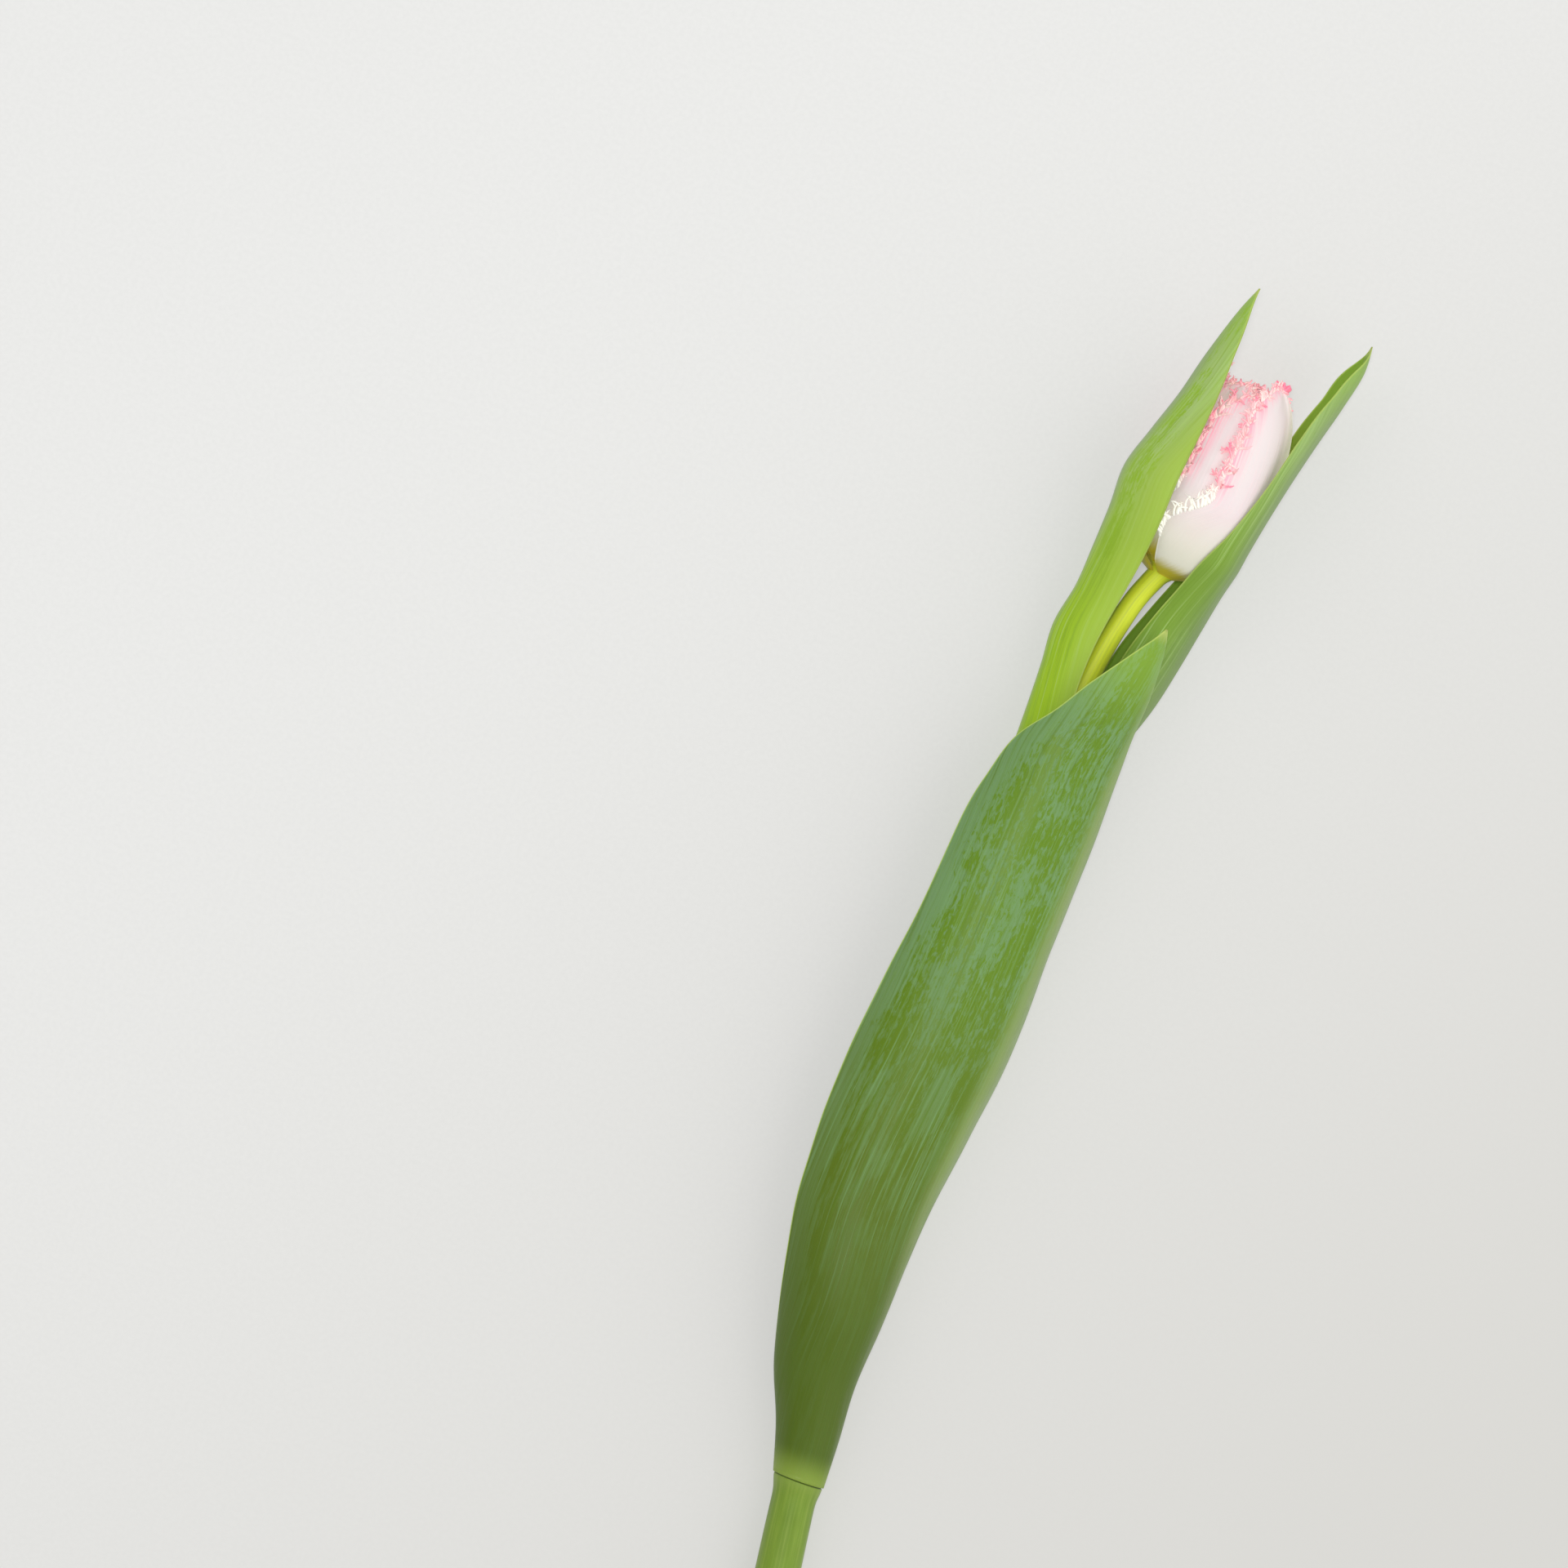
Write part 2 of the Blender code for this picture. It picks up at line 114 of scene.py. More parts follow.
# A petal: layer, its margins' angles at the foot and at the body, where its tip narrows and where it ends
PETALS = {
    "petal_outer_front": (0, (-21.0, 92.0), (9.5, 109.0), 0.80, 0.985),
    "petal_outer_under": (0, (109.0, 204.0), (131.0, 208.0), 0.80, 0.955),
    "petal_outer_left": (0, (223.0, 321.0), (232.0, 318.0), 0.80, 0.96),
    "petal_second_front": (1, (-40.0, 30.0), (-24.0, 31.0), 0.70, 0.88),
    "petal_second_under": (1, (80.0, 150.0), (84.0, 158.0), 0.76, 0.945),
    "petal_second_left": (1, (200.0, 270.0), (204.0, 276.0), 0.76, 0.94),
    "petal_third_front": (2, (-85.0, -5.0), (-60.0, 22.0), 0.80, 0.945),
    "petal_third_right": (2, (35.0, 110.0), (42.0, 112.0), 0.74, 0.95),
    "petal_third_under": (2, (150.0, 225.0), (152.0, 226.0), 0.74, 0.945),
    "petal_inner_front": (3, (-20.0, 60.0), (-22.0, 56.0), 0.76, 0.955),
    "petal_inner_right": (3, (95.0, 175.0), (92.0, 172.0), 0.72, 0.955),
    "petal_inner_left": (3, (215.0, 295.0), (212.0, 292.0), 0.72, 0.955),
}

# Leaves: arcs across each leaf, as y, centre x and z, reach along x and z, and the margins' angles from +Z
LEAF_HALF_THICKNESS = 0.33
LEAF_GRID = (240, 44)
LEAVES = {
    "leaf_lowest": (
        (-229.0, -5.5, 6.3, 6.0, 6.0, -130.0, 140.0),
        (-218.0, -7.5, 6.8, 7.5, 7.3, -112.0, 138.0),
        (-205.0, -10.7, 7.4, 9.8, 9.6, -88.0, 134.0),
        (-190.0, -12.6, 8.0, 12.5, 12.3, -72.0, 128.0),
        (-162.0, -15.6, 5.9, 16.7, 16.5, -56.0, 112.0),
        (-140.0, -15.1, 5.6, 19.0, 18.8, -53.0, 108.0),
        (-120.0, -13.7, 6.0, 19.8, 19.8, -50.0, 105.0),
        (-90.0, -11.9, 7.6, 18.4, 18.8, -48.0, 106.0),
        (-60.0, -9.9, 9.6, 17.0, 17.3, -47.0, 104.0),
        (-48.0, -8.9, 11.3, 15.9, 16.0, -38.0, 97.0),
        (-40.0, -8.0, 12.7, 15.0, 14.8, -19.0, 91.0),
        (-30.0, -5.4, 13.9, 13.0, 12.8, -5.0, 86.0),
        (-20.0, -3.6, 15.2, 11.0, 10.5, 22.0, 78.0),
        (-13.0, -2.3, 16.6, 10.0, 9.0, 49.0, 54.0),
    ),
    "leaf_left": (
        (-95.0, -13.2, 10.1, 4.6, 4.6, -160.0, 80.0),
        (-82.0, -12.9, 10.6, 5.1, 5.0, -160.0, 62.0),
        (-70.0, -12.4, 10.9, 6.0, 5.9, -160.0, 45.0),
        (-45.0, -9.9, 9.7, 8.4, 8.4, -154.0, 10.0),
        (-30.0, -9.1, 9.0, 9.6, 9.6, -157.0, 0.0),
        (-20.0, -8.8, 8.9, 10.5, 10.5, -157.0, 1.6),
        (-10.0, -6.0, 10.2, 11.5, 11.6, -154.0, -5.0),
        (0.0, -3.0, 12.4, 14.0, 14.0, -138.0, -10.7),
        (10.0, 0.3, 14.6, 17.0, 17.0, -128.0, -17.5),
        (20.0, 1.2, 15.4, 18.0, 18.0, -124.0, -18.5),
        (30.0, 3.4, 15.7, 17.2, 17.4, -114.0, -23.3),
        (40.0, 4.6, 16.0, 15.2, 15.5, -102.0, -27.8),
        (50.0, 4.0, 17.0, 12.2, 12.5, -92.0, -30.0),
        (60.0, 4.6, 18.0, 10.0, 10.0, -84.0, -41.0),
        (68.8, 5.4, 19.0, 8.0, 8.0, -68.0, -63.0),
    ),
    "leaf_right": (
        (-118.0, -13.4, 9.3, 4.9, 4.9, -20.0, 220.0),
        (-105.0, -13.3, 9.6, 5.3, 5.3, 10.0, 236.0),
        (-90.0, -12.9, 10.0, 6.4, 6.3, 45.0, 240.0),
        (-70.0, -10.2, 9.4, 7.7, 7.4, 38.0, 210.0),
        (-45.0, -5.5, 8.2, 10.1, 7.6, 7.0, 190.0),
        (-30.0, -3.8, 8.1, 13.2, 7.9, 3.0, 184.0),
        (-20.0, -1.2, 8.2, 12.7, 8.0, 0.0, 188.0),
        (-10.0, 2.0, 8.8, 11.3, 8.6, 0.0, 188.0),
        (0.0, 3.6, 11.9, 11.5, 11.7, 10.0, 176.0),
        (5.0, 2.4, 13.7, 13.9, 14.8, 22.0, 158.0),
        (10.0, 1.4, 15.2, 15.6, 15.9, 34.0, 147.0),
        (20.0, 1.9, 15.7, 16.9, 16.9, 44.7, 138.0),
        (30.0, 3.7, 15.7, 17.2, 17.2, 49.0, 131.0),
        (40.0, 11.3, 15.5, 12.0, 12.5, 41.0, 146.6),
        (50.0, 18.4, 14.6, 7.5, 8.0, 33.0, 159.0),
        (60.0, 23.4, 14.0, 4.5, 5.0, 42.0, 163.0),
        (65.9, 24.8, 13.8, 3.0, 3.4, 93.0, 109.0),
    ),
}

# Stem: x, y, z of its centre line and its radius, from the cut end up
STEM_ROUTE = (
    (9.0, -345.0, 5.5, 5.5),
    (4.0, -300.0, 5.5, 5.45),
    (-1.0, -262.0, 5.6, 5.4),
    (-5.5, -229.0, 6.2, 5.2),
    (-8.0, -206.0, 6.8, 4.9),
    (-12.0, -157.0, 8.0, 4.4),
    (-13.5, -112.0, 9.4, 4.0),
    (-12.0, -70.0, 11.5, 3.45),
    (-7.7, -30.0, 14.2, 2.75),
    (-5.4, -16.0, 15.4, 2.6),
    (-3.4, -8.0, 15.7, 2.6),
)
# The stem's top: heights along the bloom's axis and radii
STEM_TOP = (
    (-3.4, 2.65),
    (-1.6, 2.75),
    (-0.8, 3.0),
    (0.3, 4.3),
    (1.2, RECEPTACLE_RADIUS),
    (RECEPTACLE_TOP, RECEPTACLE_RADIUS),
)
STEM_THICKEST = 5.5
NODE_RING_RISE = 0.75
STEM_GRID = (420, 48)
# Rings of the cut end, as shares of the stem's radius and depths into it
CUT_END = ((0.97, 0.02), (0.9, 0.12), (0.6, 0.3), (0.25, 0.45))

# Pistil and stamens
OVARY_RADIUS = 2.4
OVARY_HEIGHT = 21.0
STIGMA_RADIUS = 3.6
STAMEN_COUNT = 6
STAMEN_RING_RADIUS = 4.1
FILAMENT_RADIUS = 0.55
FILAMENT_HEIGHT = 9.0
ANTHER_RADIUS = 1.15
ANTHER_LENGTH = 11.0
TURNED_ROWS = 48
PISTIL_SIDES = 36
PISTIL_LOBES = 0.14
STAMEN_SIDES = 20

# Camera: straight above, turned so that the stem leans as in the photograph, with the photograph's framing
PICTURE_TURN = math.radians(20.4)
PICTURE_CENTRE = np.array((-65.4, -77.6, 20.0))
PICTURE_WIDTH = 364.8
CAMERA_DISTANCE = 2000.0
SENSOR_WIDTH = 36.0
NEAREST_SEEN = 0.05

# Table and world, in metres. The table gives off some light, so that shadows stay as pale as on a lit
# white panel.
TABLE_HALF = 3.0
TABLE_GLOW = 0.4
WORLD_STRENGTH = 0.5
WHITE = (1.0, 1.0, 1.0)

# A light: its place from the middle of the picture or of the frame, its size in metres and its power in watts
OVERHEAD_LIGHT = ((-0.03, 0.03, 2.12), 0.2, 14.0)
SIDE_LIGHTS = {
    "left": ((-1.1, 0.8, 1.2), 1.4, 3.0),
    "right": ((1.2, 0.3, 1.0), 2.4, 12.0),
}


def srgb(red, green, blue):
    """A colour given as 0 to 255 per channel, as linear RGB."""
    linear = []
    for channel in (red, green, blue):
        value = channel / 255
        linear.append(value / 12.92 if value <= 0.04045 else ((value + 0.055) / 1.055) ** 2.4)
    return tuple(linear)


# Curves and blades


def smooth_rows(rows, places):
    """Rows of numbers at the given places, on a smooth curve through rows that start with their place."""
    rows = np.array(rows, dtype=float)
    knots = rows[:, 0]
    slopes = np.gradient(rows, knots, axis=0)
    places = np.clip(places, knots[0], knots[-1])
    left = np.clip(np.searchsorted(knots, places, side="right") - 1, 0, len(knots) - 2)
    span = (knots[left + 1] - knots[left])[:, None]
    share = ((places - knots[left]) / span[:, 0])[:, None]
    start = (1 + 2 * share) * (1 - share) ** 2 * rows[left] + share * (1 - share) ** 2 * span * slopes[left]
    end = share**2 * (3 - 2 * share) * rows[left + 1] + share**2 * (share - 1) * span * slopes[left + 1]
    return start + end


def with_lengths(points):
    """The points, each after its distance along their polyline from the first, as a share of the whole."""
    points = np.array(points, dtype=float)
    steps = np.linalg.norm(np.diff(points[:, :3], axis=0), axis=1)
    lengths = np.concatenate(([0.0], np.cumsum(steps)))
    return np.column_stack((lengths / lengths[-1], points)), lengths[-1]


def blend(low, high, value):
    """A share that rises softly from 0 where the value is low to 1 where it is high."""
    share = np.clip((value - low) / (high - low), 0.0, 1.0)
    return share * share * (3.0 - 2.0 * share)


def unit(vectors):
    """The vectors at length 1."""
    return vectors / np.maximum(np.linalg.norm(vectors, axis=-1, keepdims=True), 1e-9)


def grid_normals(grid):
    """Normals of a grid of points, pointing to the side that the first turn across and along gives."""
    return unit(np.cross(np.gradient(grid, axis=1), np.gradient(grid, axis=0)))


def grid_lengths(grid):
    """For each point of a grid, its signed distance from the middle line and its distance from the foot."""
    across = np.linalg.norm(np.diff(grid, axis=1), axis=2)
    across = np.concatenate((np.zeros((len(grid), 1)), np.cumsum(across, axis=1)), axis=1)
    across -= across[:, -1:] / 2
    middle = grid[:, grid.shape[1] // 2]
    along = np.concatenate(([0.0], np.cumsum(np.linalg.norm(np.diff(middle, axis=0), axis=1))))
    return across, np.repeat(along[:, None], grid.shape[1], axis=1)


def quads(rows, columns, start=0, closed=False):
    """Faces of a grid of points numbered row by row."""
    faces = []
    last = columns if closed else columns - 1
    for row in range(rows - 1):
        for column in range(last):
            ahead = (column + 1) % columns
            low, high = start + row * columns, start + (row + 1) * columns
            faces.append((low + column, low + ahead, high + ahead, high + column))
    return faces


def add_attribute(mesh, name, values):
    """Puts a number on each point of the mesh."""
    attribute = mesh.attributes.new(name, "FLOAT", "POINT")
    attribute.data.foreach_set("value", np.asarray(values, dtype=np.float32).ravel())


def make_object(name, points, faces, attributes, material):
    """A piece of the flower from points in millimetres, riding on the root in place of its CAD node."""
    mesh = bpy.data.meshes.new(name)
    places = (np.asarray(points) + BLOOM_FOOT) * MM
    mesh.from_pydata(np.clip(places, CAD_BOX[0], CAD_BOX[1]), [], faces)
    for key, values in attributes.items():
        add_attribute(mesh, key, values)
    mesh.validate()
    mesh.materials.append(material)
    mesh.shade_smooth()
    piece = bpy.data.objects.new(name + "_fine", mesh)
    bpy.context.scene.collection.objects.link(piece)
    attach(piece, "root")
    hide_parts(name)
    return piece


def blade(grid, half_thickness, outward):
    """Points, faces and attributes of a closed blade round a grid of points, thin at its margins and tip."""
    rows, columns = grid.shape[:2]
    normals = grid_normals(grid) * outward
    share = np.linspace(-1.0, 1.0, columns)
    half = half_thickness * np.sqrt(np.maximum(1.0 - np.abs(share) ** 5, 0.05))
    tip = np.sqrt(np.clip((1.0 - np.linspace(0.0, 1.0, rows)) * 30.0, 0.12, 1.0))
    offset = normals * (half[None, :] * tip[:, None])[..., None]
    points = np.concatenate(((grid + offset).reshape(-1, 3), (grid - offset).reshape(-1, 3)))
    count = rows * columns
    outer = quads(rows, columns)
    if outward < 0:
        outer = [face[::-1] for face in outer]
    inner = [tuple(index + count for index in face[::-1]) for face in outer]
    # The rim joins both faces along one margin, the tip, the other margin and the foot
    border = [row * columns for row in range(rows)]
    border += [(rows - 1) * columns + column for column in range(1, columns)]
    border += [row * columns + columns - 1 for row in range(rows - 2, -1, -1)]
    border += list(range(columns - 2, 0, -1))
    rim = [(a, b, b + count, a + count) for a, b in zip(border, border[1:] + border[:1])]
    if outward > 0:
        rim = [face[::-1] for face in rim]
    across, along = grid_lengths(grid)
    reach = np.repeat(np.linspace(0.0, 1.0, rows)[:, None], columns, axis=1)
    attributes = {
        "across": np.tile(across.ravel(), 2),
        "along": np.tile(along.ravel(), 2),
        "reach": np.tile(reach.ravel(), 2),
        "outside": np.repeat((1.0, 0.0), count),
        "margin": np.tile((np.abs(across[:, -1:]) - np.abs(across)).ravel(), 2),
    }
    return points, outer + inner + rim, attributes


# Shader nodes


class Shader:
    """A node material that is built by short calls, each of which returns its output socket."""

    def __init__(self, name):
        self.material = bpy.data.materials.new(name)
        self.material.use_nodes = True
        self.tree = self.material.node_tree
        self.principled = self.tree.nodes["Principled BSDF"]

    def put(self, socket, value):
        """Links an output socket, or sets a number, a vector or a colour. None leaves the socket as it is."""
        if isinstance(value, bpy.types.NodeSocket):
            self.tree.links.new(value, socket)
        elif value is not None:
            colour_socket = hasattr(socket.default_value, "__len__") and len(socket.default_value) == 4
            if colour_socket and len(value) == 3:
                value = (*value, 1.0)
            socket.default_value = value

    def value(self, name):
        """The mesh attribute of this name."""
        node = self.tree.nodes.new("ShaderNodeAttribute")
        node.attribute_name = name
        return node.outputs["Fac"]

    def math(self, operation, first, second=None, third=None, clamp=False):
        node = self.tree.nodes.new("ShaderNodeMath")
        node.operation = operation
        node.use_clamp = clamp
        for socket, value in zip(node.inputs, (first, second, third)):
            self.put(socket, value)
        return node.outputs[0]

    def span(self, value, low, high, to_low=0.0, to_high=1.0):
        """A soft step from to_low where the value is low to to_high where it is high."""
        node = self.tree.nodes.new("ShaderNodeMapRange")
        node.interpolation_type = "SMOOTHSTEP"
        for socket, number in zip(node.inputs, (value, low, high, to_low, to_high)):
            self.put(socket, number)
        return node.outputs[0]

    def place(self, x, y, z=0.0):
        node = self.tree.nodes.new("ShaderNodeCombineXYZ")
        for socket, value in zip(node.inputs, (x, y, z)):
            self.put(socket, value)
        return node.outputs[0]

    def noise(self, place, scale=1.0, detail=3.0, roughness=0.5, distortion=0.0):
        node = self.tree.nodes.new("ShaderNodeTexNoise")
        self.put(node.inputs["Vector"], place)
        node.inputs["Scale"].default_value = scale
        node.inputs["Detail"].default_value = detail
        node.inputs["Roughness"].default_value = roughness
        node.inputs["Distortion"].default_value = distortion
        return node.outputs["Fac"]

    def stretched_noise(self, across, along, shrink, *settings):
        """Noise in a blade's own two directions, drawn out lengthwise by shrinking the distance along."""
        return self.noise(self.place(across, self.math("MULTIPLY", along, shrink)), *settings)

    def mix_values(self, share, first, second):
        node = self.tree.nodes.new("ShaderNodeMix")
        for index, value in ((0, share), (2, first), (3, second)):
            self.put(node.inputs[index], value)
        return node.outputs[0]

    def mix(self, share, first, second):
        node = self.tree.nodes.new("ShaderNodeMix")
        node.data_type = "RGBA"
        self.put(node.inputs[0], share)
        self.put(node.inputs[6], first)
        self.put(node.inputs[7], second)
        return node.outputs[2]

    def bump(self, height, distance, strength=1.0, normal=None):
        node = self.tree.nodes.new("ShaderNodeBump")
        node.inputs["Distance"].default_value = distance
        node.inputs["Strength"].default_value = strength
        self.put(node.inputs["Height"], height)
        self.put(node.inputs["Normal"], normal)
        return node.outputs["Normal"]

    def finish(self, colour, roughness, normal=None, **numbers):
        """Sets the shader's sockets. A keyword is a socket's name, with underscores for its spaces."""
        self.put(self.principled.inputs["Base Color"], colour)
        self.put(self.principled.inputs["Roughness"], roughness)
        self.put(self.principled.inputs["Normal"], normal)
        for name, number in numbers.items():
            self.put(self.principled.inputs[name.replace("_", " ")], number)
        return self.material


def leaf_material(name, look):
    """Waxy bloom over green, rubbed off in lengthwise strokes, with parallel veins, a pale margin, and
    painted light and shade on its flanks.
    """
    wax, green = look["wax"], look["green"]
    shader = Shader(name)
    across, along = shader.value("across"), shader.value("along")
    reach, margin = shader.value("reach"), shader.value("margin")
    blotches = shader.stretched_noise(across, along, 0.3, 1.35, 5.0, 0.66, 0.6)
    clusters = shader.stretched_noise(across, along, 0.45, 0.13, 3.0, 0.55, 0.4)
    streaks = shader.stretched_noise(across, along, 0.045, 1.0, 4.0, 0.65, 0.15)
    fine = shader.stretched_noise(across, along, 0.012, 1.5, 3.0, 0.65)
    lower = shader.span(reach, *look["low_between"])
    strokes = shader.mix_values(shader.math("MULTIPLY", lower, 0.75), blotches, streaks)
    worn = shader.math("ADD", strokes, shader.math("MULTIPLY", clusters, 0.6))
    worn = shader.math("ADD", worn, shader.span(margin, 9.0, 2.0, 0.0, -0.2))
    worn = shader.math("ADD", worn, shader.span(reach, 0.84, 0.97, 0.0, 0.14))
    rubbed = shader.span(worn, look["rub"] - 0.065, look["rub"] + 0.085)
    wax_here = shader.mix(lower, wax, look["low_wax"])
    green_here = shader.mix(lower, green, look["low_green"])
    colour = shader.mix(rubbed, wax_here, green_here)
    colour = shader.mix(shader.span(streaks, 0.45, 0.72, 0.0, 0.5), colour, green_here)
    colour = shader.mix(shader.span(fine, 0.5, 0.68, 0.0, 0.6), colour, tuple(0.8 * part for part in green))
    colour = shader.mix(shader.span(fine, 0.47, 0.32, 0.0, 0.6), colour, tuple(1.15 * part for part in wax))
    # Painted light and shade: a lit flank is tinted lighter and a flank turned from the light greyer.
    for start, end, share, painted_flank_tint in look["sides"]:
        colour = shader.mix(shader.span(across, start, end, 0.0, share), colour, painted_flank_tint)
    colour = shader.mix(shader.span(reach, 0.86, 0.97, 0.0, 0.45), colour, srgb(150, 190, 60))
    # The foot colour: each leaf's own, but on the lowest leaf painted shade.
    colour = shader.mix(shader.span(reach, 0.4, 0.1, 0.0, 0.85), colour, look["foot"])
    inside_here = shader.mix(shader.span(reach, 0.7, 0.95, 0.0, 0.6), look["inside"], green)
    colour = shader.mix(shader.span(shader.value("outside"), 0.4, 0.6, 0.9, 0.0), colour, inside_here)
    colour = shader.mix(shader.span(margin, 0.5, 0.12, 0.0, 0.8), colour, srgb(184, 208, 98))
    colour = shader.mix(shader.span(along, 8.0, 0.0, 0.0, 0.85), colour, srgb(138, 162, 62))
    colour = shader.mix(shader.span(reach, 0.98, 1.0, 0.0, 0.7), colour, srgb(196, 204, 110))
    normal = shader.bump(fine, 0.00008, 0.8)
    roughness = shader.span(rubbed, 0.0, 1.0, 0.62, 0.44)
    return shader.finish(
        colour,
        roughness,
        normal,
        Specular_IOR_Level=0.32,
        Subsurface_Weight=0.1,
        Subsurface_Radius=(0.4, 0.8, 0.1),
        Subsurface_Scale=0.0008,
        Sheen_Weight=0.12,
        Sheen_Roughness=0.4,
        Sheen_Tint=(0.85, 0.95, 0.85),
    )


def petal_material(name, base_green, painted_light_side_share):
    """Satin cream petal, flushed pink beside its fringe and greenish at its foot, with fine lengthwise ribs.

    It glows a little by itself, and more on its lit side, whose colour is also painted lighter: painted light
    in place of the light that petals let through.
    """
    shader = Shader(name)
    across, along = shader.value("across"), shader.value("along")
    reach, margin = shader.value("reach"), shader.value("margin")
    ribs = shader.stretched_noise(across, along, 0.03, 1.6, 3.0, 0.6)
    soft = shader.stretched_noise(across, along, 0.3, 0.12, 2.0, 0.5)
    colour = shader.mix(shader.span(soft, 0.35, 0.68), srgb(228, 217, 216), srgb(227, 210, 212))
    colour = shader.mix(shader.span(ribs, 0.48, 0.78, 0.0, 0.35), colour, srgb(240, 214, 216))
    # Painted light: the lit side's colour is lightened toward its flank.
    side = shader.span(across, -2.5, 6.5, 0.0, painted_light_side_share)
    side = shader.math("MULTIPLY", side, shader.span(reach, 0.15, 0.4))
    colour = shader.mix(side, colour, srgb(248, 234, 228))
    blush = shader.math("MULTIPLY", shader.span(margin, 4.4, 0.3), shader.span(reach, 0.38, 0.54))
    blush = shader.math("MULTIPLY", blush, shader.span(ribs, 0.36, 0.62, 0.1, 0.85))
    colour = shader.mix(blush, colour, srgb(250, 160, 182))
    colour = shader.mix(shader.span(reach, 0.46, 0.14), colour, srgb(216, 214, 196))
    foot = shader.math("ADD", reach, shader.math("MULTIPLY", shader.math("SUBTRACT", ribs, 0.5), 0.06))
    colour = shader.mix(shader.span(foot, base_green, base_green * 0.35), colour, srgb(186, 172, 30))
    colour = shader.mix(shader.value("hair"), colour, srgb(250, 247, 234))
    colour = shader.mix(shader.value("pink"), colour, srgb(255, 134, 160))
    normal = shader.bump(ribs, 0.00013, 0.7)
    shader.put(shader.principled.inputs["Emission Color"], colour)
    # Painted light: a small glow everywhere, and more on the lit side.
    painted_glow = shader.math("ADD", 0.12, shader.math("MULTIPLY", side, 0.36))
    return shader.finish(
        colour,
        0.46,
        normal,
        Emission_Strength=painted_glow,
        Specular_IOR_Level=0.35,
        Subsurface_Weight=0.2,
        Subsurface_Radius=(1.0, 0.8, 0.75),
        Subsurface_Scale=0.0006,
        Sheen_Weight=0.15,
        Sheen_Roughness=0.4,
    )


def stem_material():
    """Yellow-green at the neck, mid green below, with fine lengthwise streaks and a pale cut end."""
    shader = Shader("stem")
    across, along, pale = shader.value("across"), shader.value("along"), shader.value("pale")
    streaks = shader.stretched_noise(across, along, 0.02, 1.5, 4.0, 0.6)
    clouds = shader.stretched_noise(across, along, 0.3, 0.11, 3.0, 0.6)
    green = shader.mix(shader.span(clouds, 0.35, 0.65), srgb(100, 130, 16), srgb(116, 146, 38))
    colour = shader.mix(shader.span(along, 225.0, 325.0), green, srgb(218, 230, 50))
    colour = shader.mix(shader.span(along, 346.0, 352.0), colour, srgb(168, 168, 40))
    colour = shader.mix(shader.span(streaks, 0.42, 0.75, 0.0, 0.4), colour, srgb(160, 180, 78))
    colour = shader.mix(shader.math("MULTIPLY", shader.value("joint"), 0.6), colour, srgb(134, 158, 62))
    coordinates = shader.tree.nodes.new("ShaderNodeTexCoord").outputs["Object"]
    cells = shader.tree.nodes.new("ShaderNodeTexVoronoi")
    cells.inputs["Scale"].default_value = 1100.0
    shader.put(cells.inputs["Vector"], coordinates)
    wall = shader.span(cells.outputs["Distance"], 0.32, 0.16)
    pith = shader.mix(wall, srgb(214, 220, 170), srgb(140, 160, 84))
    colour = shader.mix(pale, colour, pith)
    normal = shader.bump(streaks, 0.00008, 0.6)
    return shader.finish(
        colour,
        0.52,
        normal,
        Specular_IOR_Level=0.35,
        Subsurface_Weight=0.15,
        Subsurface_Radius=(0.6, 0.9, 0.2),
        Subsurface_Scale=0.001,
        Sheen_Weight=0.12,
        Sheen_Roughness=0.5,
    )


def plain_noise_material(name, low, high, scale, roughness, bump_distance):
    """A surface that varies between two colours, for the hidden parts of the bloom."""
    shader = Shader(name)
    coordinates = shader.tree.nodes.new("ShaderNodeTexCoord").outputs["Object"]
    grain = shader.noise(coordinates, scale, 4.0, 0.6)
    colour = shader.mix(shader.span(grain, 0.35, 0.65), low, high)
    return shader.finish(colour, roughness, shader.bump(grain, bump_distance, 0.7), Specular_IOR_Level=0.3)


# Leaves


def leaf_grid(name):
    """The middle surface of a leaf, with a slight wave along its margins."""
    rows = LEAVES[name]
    places = np.linspace(0.0, 1.0, LEAF_GRID[0] + 1) ** 0.97
    ys = rows[0][0] + (rows[-1][0] - rows[0][0]) * places
    arcs = smooth_rows(rows, ys)
    share = np.linspace(0.0, 1.0, LEAF_GRID[1] + 1)
    angle = np.radians(arcs[:, 5:6] + share[None, :] * (arcs[:, 6:7] - arcs[:, 5:6]))
    edge = np.abs(2 * share - 1)[None, :] ** 3
    seed = len(name)
    wave = 0.12 * np.sin(ys * 0.13 + seed) + 0.07 * np.sin(ys * 0.31 + 2 * seed)
    fade = np.sin(math.pi * np.clip(places, 0.0, 1.0)) ** 0.5
    swell = edge * (wave * fade)[:, None]
    swell += 0.1 * np.sin(angle * 9.0) * fade[:, None]
    x = arcs[:, 1:2] + (arcs[:, 3:4] + swell) * np.sin(angle)
    z = arcs[:, 2:3] + (arcs[:, 4:5] + swell) * np.cos(angle)
    z = np.maximum(z, LEAF_HALF_THICKNESS + 0.02)
    y = np.repeat(ys[:, None], len(share), axis=1)
    return np.stack((x, y, z), axis=2)


